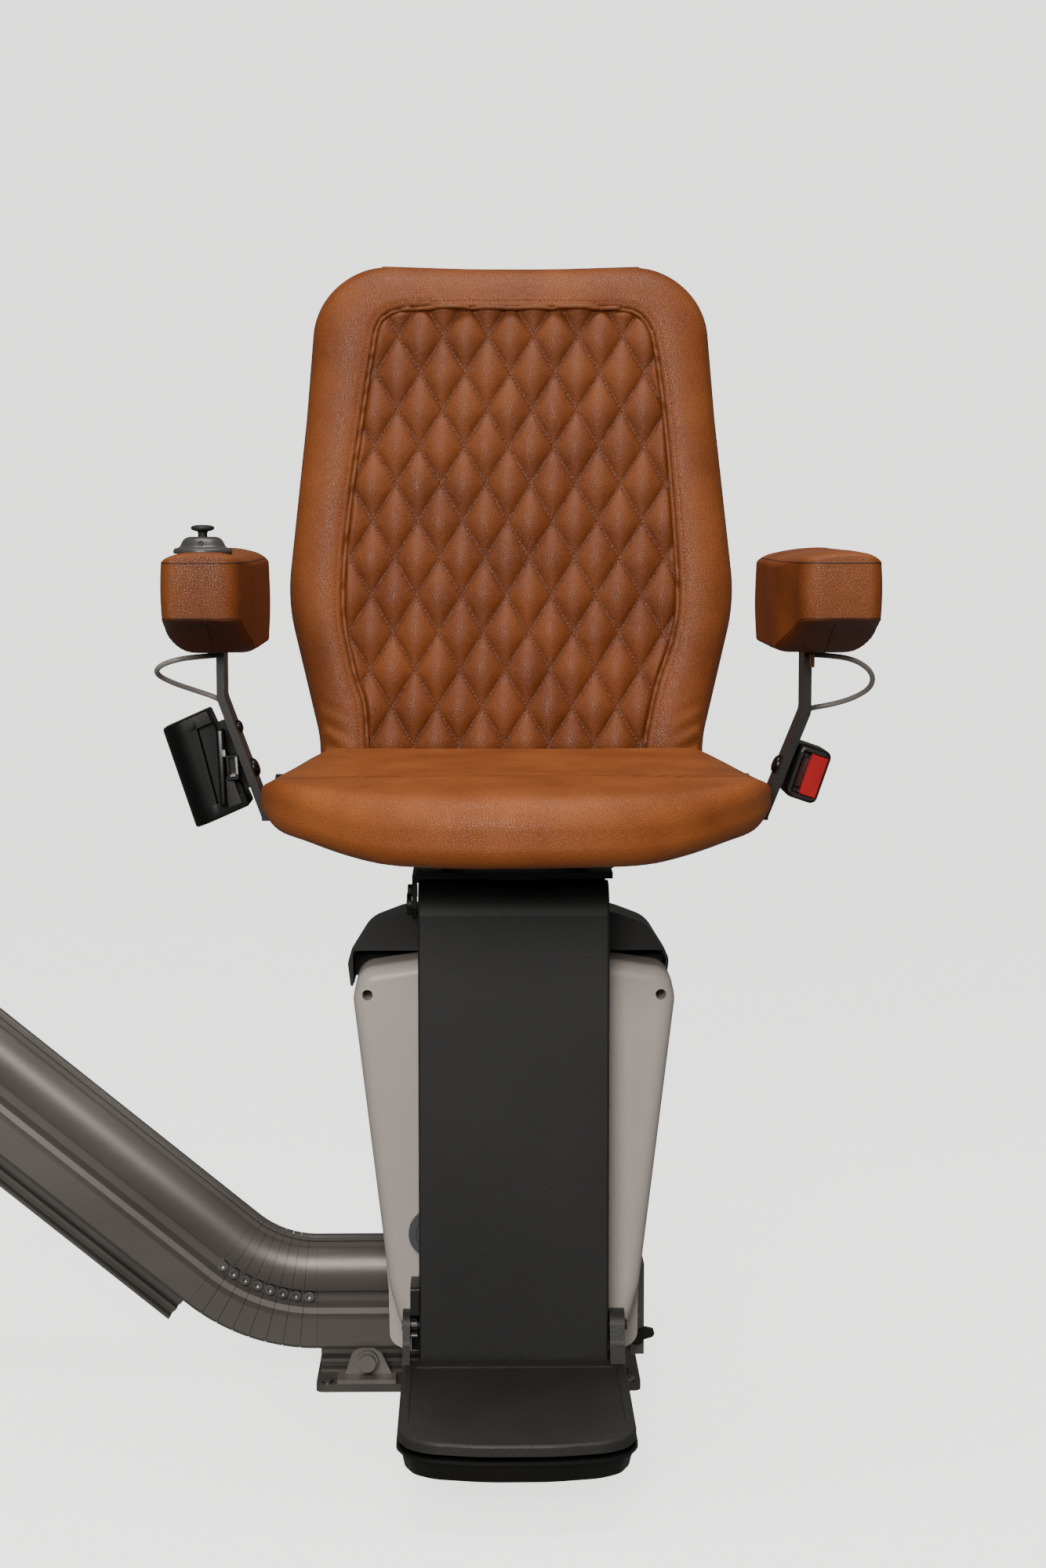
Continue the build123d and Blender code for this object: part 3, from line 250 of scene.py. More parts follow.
# Coats that the CAD nodes keep. Each gives the eye what its comment says.
SLOTS = {
    # anodised aluminium: grey-brown, satin, with faint drawing lines along the rail
    "rail_paint": coated(
        "anodised_aluminium", "#6a645f", "#7b756f", 0.38, 120, 1.2, 0.02, (0.08, 1, 1), Metallic=0.4
    ),
    # dark anodised aluminium of the base strips, duller than the rail
    "base_paint": coated("dark_anodised_aluminium", "#55514d", "#625e59", 0.45, 90, 1.4, 0.03, Metallic=0.3),
    # zinc-plated and lacquered steel of the brackets: light grey with a soft sheen
    "bracket_metal": coated("lacquered_steel", "#756f6a", "#888079", 0.42, 60, 2.0, 0.05, Metallic=0.2),
    # bright zinc-plated steel of screws and plates
    "steel": coated("zinc_plated_steel", "#8f8d8a", "#b1afab", 0.3, 20, 1.0, 0.02, Metallic=1.0),
    # dark oiled steel of gears and shafts
    "gear_steel": coated("oiled_steel", "#4a4845", "#65625f", 0.34, 25, 1.0, 0.02, Metallic=1.0),
    # die-cast zinc with a rough skin
    "cast_housing": coated("die_cast_zinc", "#5f5e5c", "#787673", 0.5, 30, 2.2, 0.15, Metallic=0.8),
    # motor case: smooth black enamel on steel
    "motor_metal": coated("black_enamelled_steel", "#161514", "#201f1d", 0.35, 60, 2.5, 0.04, Metallic=0.1),
    # nylon wheels: near black, dull, slightly waxy
    "wheel_plastic": coated("black_nylon", "#1b1a19", "#262523", 0.5, 40, 1.8, 0.04),
    # glass-filled nylon of levers and knobs: dark with a fine speckle
    "knob_plastic": coated("glass_filled_nylon", "#191817", "#232120", 0.42, 40, 1.4, 0.06),
    # moulded ABS covers: warm light grey with a fine spark-eroded grain that softens the shine
    "cover_plastic": coated("grey_abs", "#c0b5ac", "#cabfb6", 0.42, 240, 1.5, 0.05, Coat_Weight=0.08),
    # dark slate-grey ABS disc on the cover
    "boss_plastic": coated("slate_abs_disc", "#47474b", "#535357", 0.45, 120, 1.5, 0.05),
    # black ABS hood: fine grain, low shine
    "hood_plastic": coated("black_abs", "#131110", "#1c1a18", 0.45, 120, 1.5, 0.08),
    # black powder-coated steel frames
    "body_metal": coated("powder_coated_steel", "#1d1c1b", "#272524", 0.5, 60, 1.8, 0.08),
    # battery case: dull dark polypropylene
    "battery_case": coated("dark_polypropylene", "#202224", "#2a2c2f", 0.55, 60, 1.8, 0.05),
    # green solder mask, glossy, over glass fibre
    "circuit_board": coated("solder_mask_board", "#123a22", "#1b5231", 0.25, 14, 1.0, 0.02, Coat_Weight=0.4),
    # apron: charcoal powder coat with an orange-peel skin
    "apron_metal": coated("charcoal_powder_coat", "#1e1d1d", "#272626", 0.55, 160, 2.0, 0.10),
    # footrest top: black polyurethane with a pebbled, non-slip grain
    "footrest_top": coated("grained_polyurethane", "#302e2b", "#363431", 0.52, 60, 2.4, 0.30),
    # safety pan: plain black polypropylene
    "pan_plastic": coated("black_polypropylene", "#100f0e", "#1a1817", 0.4, 60, 2.0, 0.05),
    # frame under the seat: satin black powder coat
    "frame_metal": coated("satin_black_steel", "#0f0e0d", "#181615", 0.5, 60, 1.8, 0.06, Metallic=0.2),
    # shell behind the backrest: dark brown-black ABS
    "shell_plastic": coated("dark_abs_shell", "#1d1a18", "#272321", 0.42, 160, 1.8, 0.07),
    # arm bars: satin black paint, warm where the light grazes it
    "bar_metal": coated("satin_painted_steel", "#211d1b", "#2c2724", 0.36, 60, 1.8, 0.05, Metallic=0.15),
    # reel housing: fine-grained black ABS
    "reel_plastic": coated(
        "black_abs_reel", "#060505", "#0b0a09", 0.46, 30, 1.6, 0.07, Specular_IOR_Level=0.28
    ),
    # buckle: smooth black acetal with a slight shine
    "buckle_plastic": coated("black_acetal", "#0e0c0b", "#171413", 0.36, 30, 1.8, 0.04),
    # button: glossy red acetal
    "red_plastic": coated("red_acetal", "#b30f18", "#c2161f", 0.25, 30, 2.5, 0.02, Coat_Weight=0.6),
    # joystick base: grey ABS with a metallic pigment
    "base_plastic": coated("metallic_grey_abs", "#4a4845", "#5a5754", 0.36, 30, 1.4, 0.04, Metallic=0.35),
    # joystick: soft black rubber with a stippled cap
    "stick_plastic": coated("stippled_rubber", "#1f1d1b", "#2c2a27", 0.55, 15, 1.3, 0.22),
    # cable skin: warm grey PVC, slightly shiny
    "cable_skin": coated("grey_pvc", "#857f79", "#98918b", 0.35, 25, 2.0, 0.02),
}
SLOTS["board_wood"] = plywood("shade_darkened_plywood")
# smooth upholstery leather of the seat and the pads
SLOTS["leather"] = leather("tan_leather", "#7e4018", "#94501f", painted_shade_colour="#26100a")
# the same hide, painted a little lighter on the seat: painted light for the brighter light that falls on its
# top
SEAT_LEATHER = leather("painted_light_tan_leather", "#8f4b20", "#a65d2a", painted_shade_colour="#26100a")
# the same hide on the backrest, with the darker stitched panel
SLOTS["quilted_leather"] = leather(
    "quilted_tan_leather", "#7d4019", "#935022", painted_shade_colour="#2e1409", panel=("#733a17", "#88491f")
)
# waxed polyester thread: rust brown, dull, so that each stitch reads as a line in its crease
THREAD = coated("waxed_thread", "#91491f", "#a55828", 0.7, 6, 0.8, 0.05, Specular_IOR_Level=0.15)
# darker thread and cord of the pads' seams
SEAM_THREAD = coated("dark_waxed_thread", "#2c1309", "#3f1d0d", 0.6, 6, 0.8, 0.05)
# red acetal painted darker as shade, deep in the buckle's window where little light falls
DARK_RED = coated("deep_red_acetal", "#2c0407", "#45070c", 0.3, 12, 2.5, 0.02)
# polished black acetal of the latch: dark, with a thin line of light on its edges
GLOSS_BLACK = coated("black_acetal_gloss", "#080706", "#100e0d", 0.28, 30, 1.8, 0.02)
# rolled edge piping in the same hide
PIPING = leather("piping_leather", "#733d1c", "#8b4f26")
# blackened brass of the zip
ZIP_METAL = coated("blackened_brass", "#4b2f1c", "#67432a", 0.35, 12, 1.0, 0.02, Metallic=0.7)

for node, mesh_object in NODES.items():
    slot_name = next(s["material_slot"] for s in frame["record"]["subparts"] if s["node"] == node)
    mesh_object.data.materials.clear()
    mesh_object.data.materials.append(SLOTS[slot_name])
for lead in LEADS:
    lead.data.materials.append(SLOTS["cable_skin"])


def recoat(node, material):
    """Another finish for one CAD node."""
    NODES[node].data.materials[0] = material


# warm grey rubber of the two-step knob: dull, lighter than the black levers
recoat("stop_buffer", coated("warm_grey_rubber", "#6a6562", "#797471", 0.5, 30, 1.4, 0.06))
# blackened screws: they stay dark in the cover's recesses
recoat("cover_screws", coated("blackened_steel", "#141312", "#1f1d1b", 0.4, 10, 1.0, 0.02, Metallic=0.3))


# ---- making pieces ------------------------------------------------------------------------------
def body_of(node):
    return NODES[node]["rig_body"]


def finish_piece(name, bm, material, body, stands_for=(), sharp=None):
    """A mesh drawn in mm becomes a piece that rides on a body."""
    bmesh.ops.transform(bm, matrix=TO_METRES, verts=bm.verts)
    bmesh.ops.remove_doubles(bm, verts=bm.verts, dist=0.00001)
    bmesh.ops.recalc_face_normals(bm, faces=bm.faces)
    mesh = bpy.data.meshes.new(name)
    bm.to_mesh(mesh)
    bm.free()
    mesh.materials.append(material)
    mesh.shade_smooth()
    if sharp:
        mesh.set_sharp_from_angle(angle=math.radians(sharp))
    piece = bpy.data.objects.new(name, mesh)
    SCENE.collection.objects.link(piece)
    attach(piece, body)
    if stands_for:
        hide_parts(*stands_for)
    return piece


def rounded(corners, radii, steps=10):
    """Closed outline with rounded corners."""
    line = []
    count = len(corners)
    for k, radius in enumerate(radii):
        corner = Vector(corners[k])
        back = Vector(corners[k - 1]) - corner
        ahead = Vector(corners[(k + 1) % count]) - corner
        if radius == 0:
            line.append(corner)
            continue
        bend = math.pi - back.angle(ahead)
        reach = radius * math.tan(bend / 2)
        handle = radius * 4 / 3 * math.tan(bend / 4)
        start = corner + back.normalized() * reach
        end = corner + ahead.normalized() * reach
        pull = start - back.normalized() * handle
        push = end - ahead.normalized() * handle
        line += interpolate_bezier(start, pull, push, end, steps)
    return line


def flowing(points, step):
    """Points about a step apart on a smooth line through the given ones."""
    knots = [Vector(p) for p in points]
    knots = [knots[0] * 2 - knots[1]] + knots + [knots[-1] * 2 - knots[-2]]
    line = []
    for a, b, c, d in zip(knots, knots[1:], knots[2:], knots[3:]):
        count = max(2, int((c - b).length / step) + 1)
        line += interpolate_bezier(b, b + (c - a) / 6, c - (d - b) / 6, c, count)[:-1]
    return line + [knots[-2]]


def evenly(line, step):
    """Places and directions a step apart along a line of points."""
    found = []
    left = step / 2
    for a, b in zip(line, line[1:]):
        span = (b - a).length
        while left <= span and span > 0:
            found.append((a.lerp(b, left / span), (b - a) / span))
            left += step
        left -= span
    return found


def across(table, at):
    """Value at a place in a table of (place, value) with rising places."""
    if at <= table[0][0]:
        return table[0][1]
    for (a, first), (b, second) in zip(table, table[1:]):
        if at <= b:
            return first + (second - first) * (at - a) / (b - a)
    return table[-1][1]


def ease(low, high, at):
    """0 below low, 1 above high, smooth between."""
    share = max(0.0, min(1.0, (at - low) / (high - low)))
    return share * share * (3 - 2 * share)


def ridge(at, middle, width):
    return math.exp(-(((at - middle) / width) ** 2))


def roll(distance, width, depth):
    """How far a rolled edge lies back, at a distance in from the side."""
    share = max(0.0, 1 - distance / width)
    return depth * (1 - math.sqrt(max(0.0, 1 - share**2)))


def rounded_box(half, radius, cuts, spread=1.2):
    """Box about the origin with rounded edges; its rows lie closer together near the edges."""
    bm = bmesh.new()
    bmesh.ops.create_cube(bm, size=2)
    bmesh.ops.subdivide_edges(bm, edges=bm.edges, cuts=cuts, use_grid_fill=True)
    for vert in bm.verts:
        place = Vector([math.sin(c * spread) / math.sin(spread) * h for c, h in zip(vert.co, half)])
        core = Vector([max(radius - h, min(h - radius, c)) for c, h in zip(place, half)])
        vert.co = core + (place - core).normalized() * radius
    return bm


def stacked(rings):
    """Solid from closed outlines (x, y) at heights: each joined to the next, both ends filled."""
    bm = bmesh.new()
    loops = []
    for outline, height in rings:
        verts = [bm.verts.new((point[0], point[1], height)) for point in outline]
        loops.append([bm.edges.new(pair) for pair in zip(verts, verts[1:] + verts[:1])])
    for low, high in zip(loops, loops[1:]):
        bmesh.ops.bridge_loops(bm, edges=low + high)
    for loop in (loops[0], loops[-1]):
        bmesh.ops.edgeloop_fill(bm, edges=loop)
    bmesh.ops.recalc_face_normals(bm, faces=bm.faces)
    return bm


def placed(bm, *steps):
    """The mesh after some moves, the last one first."""
    for matrix in reversed(steps):
        bmesh.ops.transform(bm, matrix=matrix, verts=bm.verts)
    return bm


def merged(parts):
    """Several meshes as one."""
    whole = bmesh.new()
    for part in parts:
        mesh = bpy.data.meshes.new("part")
        part.to_mesh(mesh)
        part.free()
        whole.from_mesh(mesh)
        bpy.data.meshes.remove(mesh)
    return whole


def turn(axis, degrees):
    return Matrix.Rotation(math.radians(degrees), 4, axis)


def move(x, y, z):
    return Matrix.Translation((x, y, z))


def plate(x0, x1, y0, y1, radius, grow=0.0):
    """Rounded rectangle, its straight sides moved out by grow."""
    x0, x1, y0, y1 = x0 - grow, x1 + grow, y0 - grow, y1 + grow
    return rounded([(x0, y0), (x1, y0), (x1, y1), (x0, y1)], [radius] * 4, 6)


def layers(sides, radius, steps):
    """Outlines of a block with rounded corners, from steps of (inset, height)."""
    return [(plate(*sides, radius, -inset), height) for inset, height in steps]


def lathe(profile, steps=40):
    """Turned piece: (radius, height) points spun about Z."""
    bm = bmesh.new()
    verts = [bm.verts.new((radius, 0, height)) for radius, height in profile]
    edges = [bm.edges.new(pair) for pair in zip(verts, verts[1:])]
    bmesh.ops.spin(
        bm, geom=verts + edges, axis=(0, 0, 1), cent=(0, 0, 0), angle=math.tau, steps=steps, use_merge=True
    )
    bmesh.ops.remove_doubles(bm, verts=bm.verts, dist=0.001)
    return bm


def tube(lines, radius, sides=3):
    """Round tubes along lines of points, as one mesh."""
    curve = bpy.data.curves.new("tube", "CURVE")
    curve.dimensions = "3D"
    curve.bevel_depth = radius
    curve.bevel_resolution = sides
    curve.use_fill_caps = True
    for line in lines:
        spline = curve.splines.new("POLY")
        spline.points.add(len(line) - 1)
        for point, place in zip(spline.points, line):
            point.co = (*place, 1)
    holder = bpy.data.objects.new("tube", curve)
    mesh = bpy.data.meshes.new_from_object(holder)
    bm = bmesh.new()
    bm.from_mesh(mesh)
    bpy.data.objects.remove(holder)
    bpy.data.curves.remove(curve)
    bpy.data.meshes.remove(mesh)
    return bm


def on_surface(tree, place, inward, above):
    """The point of a surface met from outside along inward, lifted by above, and its normal."""
    hit, normal, _, _ = tree.ray_cast(place - inward * 60, inward)
    if hit is None:
        hit, normal, _, _ = tree.find_nearest(place)
    if normal.dot(inward) > 0:
        normal = -normal
    return hit + normal * above, normal


def one_stitch():
    bm = bmesh.new()
    bmesh.ops.create_uvsphere(bm, u_segments=6, v_segments=4, radius=1)
    mesh = bpy.data.meshes.new("stitch")
    bm.to_mesh(mesh)
    bm.free()
    return mesh


STITCH = one_stitch()


def add_stitches(bm, places):
    """Copies of the stitch at (spot, direction, normal, length, thickness); a run at a time is quick."""
    run = bmesh.new()
    for spot, along, normal, length, thick in places:
        first = len(run.verts)
        run.from_mesh(STITCH)
        run.verts.ensure_lookup_table()
        along = (along - normal * along.dot(normal)).normalized()
        side = normal.cross(along)
        shape = Matrix((along * length / 2, side * thick, normal * thick)).transposed().to_4x4()
        bmesh.ops.transform(run, matrix=Matrix.Translation(spot) @ shape, verts=run.verts[first:])
    mesh = bpy.data.meshes.new("run")
    run.to_mesh(mesh)
    run.free()
    bm.from_mesh(mesh)
    bpy.data.meshes.remove(mesh)


def sew(bm, tree, line, inward, pitch, length, thick, lift=0.0):
    """Short thick stitches along a line, lying on a surface."""
    places = []
    for place, along in evenly(line, pitch):
        spot, normal = on_surface(tree, place, inward, lift)
        places.append((spot, along, normal, length, thick))
    add_stitches(bm, places)


# ---- backrest -----------------------------------------------------------------------------------
LEAN = 8.0
ON_BACK = Matrix.Translation((-0.5, -71.5, 606.0)) @ Matrix.Rotation(math.radians(-LEAN), 4, "X")
BACK_TOP = 514.0
BACK_HALF = [(188, 0), (189, 45), (220, 180), (202, 360), (190.5, 514), (60, 511)]
BACK_RADII = [20, 120, 190, 400, 74, 0]
BACK_OUTLINE = rounded(
    BACK_HALF + [(-x, z) for x, z in reversed(BACK_HALF)], BACK_RADII + BACK_RADII[::-1], 40
)
BACK_ROLL = (42.0, 26.0)  # width and depth of the rolled edge
BACK_INSET = 7.0
BACK_REAR = ((32.0, 0.0), (41.0, 4.0), (47.0, 10.0), (49.8, 17.0))  # depth and inset towards the rear
# the panel's piping (x, z), up the left side to the middle of the top, then down the right side
PANEL_LEFT = [
    (-139, -12), (-142, 36), (-145, 75), (-154, 104), (-160.5, 133), (-164, 151), (-166, 180),
    (-163, 236), (-155, 304), (-142, 393), (-136, 430), (-132.5, 447), (-126, 458), (-114, 464.5),
    (-98, 467), (-80, 467.3),
]
PANEL_RIGHT = [
    (88, 467.3), (107, 466.5), (121, 464), (131, 457), (138, 446), (142, 432), (149, 386),
    (157, 304), (164, 187), (158, 140), (143, 94), (131, 36), (128, -12),
]
QUILT_X = 44.1
QUILT_Z = 73.3
QUILT_MIDDLE = (20.3, 366.0)
QUILT_SLANT = 0.0184
QUILT_DEPTH = 9.5  # the seams lie this far behind the border
QUILT_PUFF = 8.8  # the middle of a diamond stands this far out from its seams
SEAM_SHARE = 0.16  # part of a diamond darkened by painted shade along its seams
PANEL_TOP = 466.5
FREE = 6.0  # beside the piping the diamonds are held down, and puff freely from here on
HEM = 6.5  # the outer row of stitches runs this far outside the piping


def nearest(line):
    """A finder of the distance to a line of points."""
    found = KDTree(len(line))
    for k, point in enumerate(line):
        found.insert((point[0], point[1], 0), k)
    found.balance()
    return lambda x, z: found.find((x, z, 0))[2]


from_piping = nearest(flowing(PANEL_LEFT, 1.0) + flowing(PANEL_RIGHT, 1.0))
PANEL_SIDES = [sorted((p.y, p.x) for p in flowing(side, 3.0)) for side in (PANEL_LEFT, PANEL_RIGHT)]


def in_panel(x, z):
    left, right = PANEL_SIDES
    return across(left, z) < x < across(right, z)


def quilt_steps(x, z):
    """Place in the lattice of diamonds: whole numbers are seams."""
    across_step = (x - QUILT_MIDDLE[0] - QUILT_SLANT * (z - QUILT_MIDDLE[1])) / QUILT_X
    up_step = (z - QUILT_MIDDLE[1]) / QUILT_Z
    return across_step + up_step, across_step - up_step


def wrap_rear(bm, marks):
    """The front's rim carried round the rolled edge and in at the rear, then closed."""
    width, deep = BACK_ROLL
    turns = [math.radians(degrees) for degrees in (66, 78, 90)]
    steps = [(BACK_INSET - width * (1 - math.sin(t)), deep * (1 - math.cos(t))) for t in turns]
    steps += [(BACK_INSET - shrink, depth) for depth, shrink in BACK_REAR]
    middle = BACK_TOP / 2
    rim = [e for e in bm.edges if e.is_boundary]
    done = 0.0
    for out, depth in steps:
        made = bmesh.ops.extrude_edge_only(bm, edges=rim)["geom"]
        rim = [g for g in made if isinstance(g, bmesh.types.BMEdge)]
        grow_x = 1 + (out - done) / 200
        grow_z = 1 + (out - done) / 257
        for vert in {v for e in rim for v in e.verts}:
            vert.co = (vert.co.x * grow_x, depth, middle + (vert.co.z - middle) * grow_z)
            for mark in marks:
                vert[mark] = 0.0
        done = out
    bmesh.ops.edgeloop_fill(bm, edges=rim)


def make_backrest():
    """Backrest: rolled border, piping groove and a stitched panel of puffed diamonds; gives its surface."""
    from_side = nearest([place for place, _ in evenly(BACK_OUTLINE + BACK_OUTLINE[:1], 1.5)])
    sides = sorted((p.y, p.x) for p in BACK_OUTLINE if p.x > 128)
    bm = bmesh.new()
    bmesh.ops.create_grid(bm, x_segments=210, y_segments=240, size=1)
    crease_and_painted_shade = bm.verts.layers.float.new("crease_and_painted_shade")
    panel = bm.verts.layers.float.new("panel")
    spread = 1.15  # the grid's lines lie closer together near the edges
    for vert in bm.verts:
        u = math.sin(vert.co.x * spread) / math.sin(spread)
        v = math.sin(vert.co.y * spread) / math.sin(spread)
        level = BACK_TOP / 2 + v * (BACK_TOP / 2 - 1.1)
        z = level - v * BACK_INSET
        x = u * (across(sides, level) - BACK_INSET)
        z = z - 3.0 * (1 - ease(20, 150, abs(x))) * ease(0, BACK_TOP, z)
        piping = from_piping(x, z)
        y = roll(from_side(x, z), *BACK_ROLL)
        if z < PANEL_TOP and in_panel(x, z):
            a, b = (abs(math.sin(math.pi * step)) for step in quilt_steps(x, z))
            free = ease(0, FREE, piping)
            y += QUILT_DEPTH - QUILT_PUFF * (a * b) ** 0.62 * free
            nearness = max(ridge(a, 0, SEAM_SHARE), ridge(b, 0, SEAM_SHARE))
            # painted shade: the seams' valleys and the groove by the piping darkened in the leather's colour
            vert[crease_and_painted_shade] = max(0.55 * nearness * free, 0.5 * ridge(piping, 0, 2.8))
            vert[panel] = 1.0
        else:
            y += roll(piping, 30, 5.5) + 0.4 * ridge(piping, HEM, 1.2)
            # painted shade in the groove beside the piping and along the hem line
            vert[crease_and_painted_shade] = max(0.4 * ridge(piping, 0, 3.0), 0.12 * ridge(piping, HEM, 1.2))
            vert[panel] = 0.0
        y += 0.4 * noise.noise(Vector((x, z, 0)) * 0.012) + 0.15 * noise.noise(Vector((x, z, 9)) * 0.06)
        fold = ease(150, 185, abs(x)) * (1 - ease(30, 95, z))
        y += 1.6 * fold * math.sin((z - 0.5 * abs(x)) * 0.33)
        vert.co = (x, y, z)
    wrap_rear(bm, (crease_and_painted_shade, panel))
    bmesh.ops.transform(bm, matrix=ON_BACK, verts=bm.verts)
    bmesh.ops.recalc_face_normals(bm, faces=bm.faces)
    surface = BVHTree.FromBMesh(bm)
    body = body_of("backrest_cushion")
    back = finish_piece(
        "backrest", bm, SLOTS["quilted_leather"], body, ["backrest_cushion"]
    )
    return surface


def back_line(points):
    """Points (x, z) of the backrest's front as places in the shared frame."""
    return [ON_BACK @ Vector((p[0], 0, p[1])) for p in points]


def quilt_lines():
    """The quilt's seams across the panel (x, z), each with the way that it slants."""
    for way in (1, -1):
        for row in range(-12, 13):
            run = []
            for height in range(6, 466, 6):
                share = (height - QUILT_MIDDLE[1]) / QUILT_Z
                slant = QUILT_SLANT * (height - QUILT_MIDDLE[1])
                x = QUILT_MIDDLE[0] + slant + QUILT_X * (row - way * share)
                if in_panel(x, height) and from_piping(x, height) > 3.5:
                    run.append((x, height))
            if len(run) > 1:
                yield way, run


def trim_backrest(tree):
    """Piping round the panel and the thread of all its seams."""
    body = body_of("backrest_cushion")
    inward = (ON_BACK.to_3x3() @ Vector((0, 1, 0))).normalized()
    path = flowing(PANEL_LEFT[:-1], 4.0) + flowing([PANEL_LEFT[-1]] + PANEL_RIGHT, 4.0)
    path = [p for p in path if p.y > 4]
    laid = [on_surface(tree, place, inward, 0.9)[0] for place in back_line(path)]
    piping = finish_piece("backrest_piping", tube([laid], 2.3), PIPING, body)

    thread = bmesh.new()
    for way, run in quilt_lines():
        sew(thread, tree, back_line(run), inward, 4.4, 3.0, 0.75, 0.35 * way)
    outer = []
    for a, b in zip(path, path[1:]):
        side = Vector((-(b - a).y, (b - a).x)).normalized()
        outer.append(a + side * HEM)
    for first in range(0, len(outer) - 1, 60):
        sew(thread, tree, back_line(outer[first : first + 61]), inward, 4.1, 3.0, 0.6, 0.1)
    finish_piece("backrest_stitches", thread, THREAD, body)


# ---- seat ---------------------------------------------------------------------------------------
SEAT_SIDE = 228.0
SEAT_BACK_HALF = 188.0
SEAT_REAR = -80.0
NOSE_R = 269.5
NOSE_Y = -200.5
SEAT_CREASE = -330.0  # the crease in its top, slightly bowed
# heights of the top and the underside at a distance from the middle
SEAT_TOP = [(0, 636.8), (130, 636), (180, 635.5), (207, 635.6), (228, 635.4)]
SEAT_LOW = [(0, 571), (103, 571.4), (120, 572.7), (137, 575.6), (165, 581.5), (185, 585.5)]
SEAT_LOW += [(201, 587.5), (212, 590), (221, 595), (228, 599)]
SEAT_REAR_TOP = 641.0


def from_crease(x, y, width):
    return ridge(y, SEAT_CREASE + 0.00012 * x * x, width)


def make_seat():
    """Seat cushion: bull-nosed front, thin wing edges, a bowed underside."""
    half = (SEAT_SIDE, 195.0, 32.7)
    bm = rounded_box(half, 24.0, 58)
    for vert in bm.verts:
        u, v, t = (c / h for c, h in zip(vert.co, half))
        share = (v + 1) / 2
        x = u * (SEAT_SIDE + (SEAT_BACK_HALF - SEAT_SIDE) * share)
        front = NOSE_Y - math.sqrt(NOSE_R**2 - (u * SEAT_SIDE) ** 2)
        y = front + (SEAT_REAR - front) * share
        wide = abs(x) * SEAT_SIDE / (SEAT_SIDE + (SEAT_BACK_HALF - SEAT_SIDE) * share)
        top = across(SEAT_TOP, wide)
        low = across(SEAT_LOW, wide)
        top += (SEAT_REAR_TOP - top) * ease(-350, -95, y)
        top -= roll(y - front, 125, 15) * (1 - ease(130, 222, wide))
        low -= 3.5 * (1 - ease(25, 75, y - front)) * (1 - ease(150, 226, wide))
        z = low + (top - low) * (t + 1) / 2
        upper = ease(0.2, 0.9, t)
        z -= upper * 2.0 * from_crease(x, y, 3.0)
        z += 0.8 * noise.noise(Vector((x, y, z)) * 0.011)
        vert.co = (x, y, z)
    every_way = {"use_axis_x": True, "use_axis_y": True, "use_axis_z": True}
    bmesh.ops.smooth_vert(bm, verts=bm.verts, factor=0.5, **every_way)
    # painted shade: a dark line along the crease across the top
    line = bm.verts.layers.float.new("crease_and_painted_shade")
    for vert in bm.verts:
        x, y, z = vert.co
        vert[line] = 0.55 * from_crease(x, y, 2.6) if z > 610 else 0.0
    seat = finish_piece("seat", bm, SEAT_LEATHER, body_of("seat_cushion"), ["seat_cushion"])


# ---- armrest pads -------------------------------------------------------------------------------
FRONTWARD = turn("X", 90)  # an outline (x, y) becomes (x, z), and heights run towards the camera
PAD_FRONT = -400.0
PAD_REAR = -130.0
PAD_LOW = 743.6
PAD_NOSE = 773.0
PAD_SEAM = 824.6
PAD_SIDE_R = 24.0
STITCH_DROP = 2.8
# sign of x, outer wall, inner wall at the front, inner wall at the rear, x of the crown
PADS = {
    "left": (-1, 304.5, 237.0, 230.5, 268.0),
    "right": (1, 312.5, 242.0, 229.5, 288.0),
}


def pad_inner(side_data, y):
    _, _, inner_front, inner_rear, _ = side_data
    return inner_front + (inner_rear - inner_front) * ease(-378, -325, y)


def pad_low(side_data, x, y):
    """Height of the underside: round towards the outside, a wedge at the front."""
    past = min(PAD_SIDE_R, max(0.0, x - side_data[1] + PAD_SIDE_R))
    to_side = PAD_LOW + 0.9 * (PAD_SIDE_R - math.sqrt(PAD_SIDE_R**2 - past**2))
    to_front = PAD_LOW + (PAD_NOSE - PAD_LOW) * (1 - ease(-402, -306, y))
    return max(to_side, to_front)


def pad_top(side_data, x, y):
    _, outer, inner, _, crown = side_data
    reach = (outer - crown) if x > crown else (crown - inner)
    return 829.0 + 5.5 * (1 - ((x - crown) / reach) ** 2)


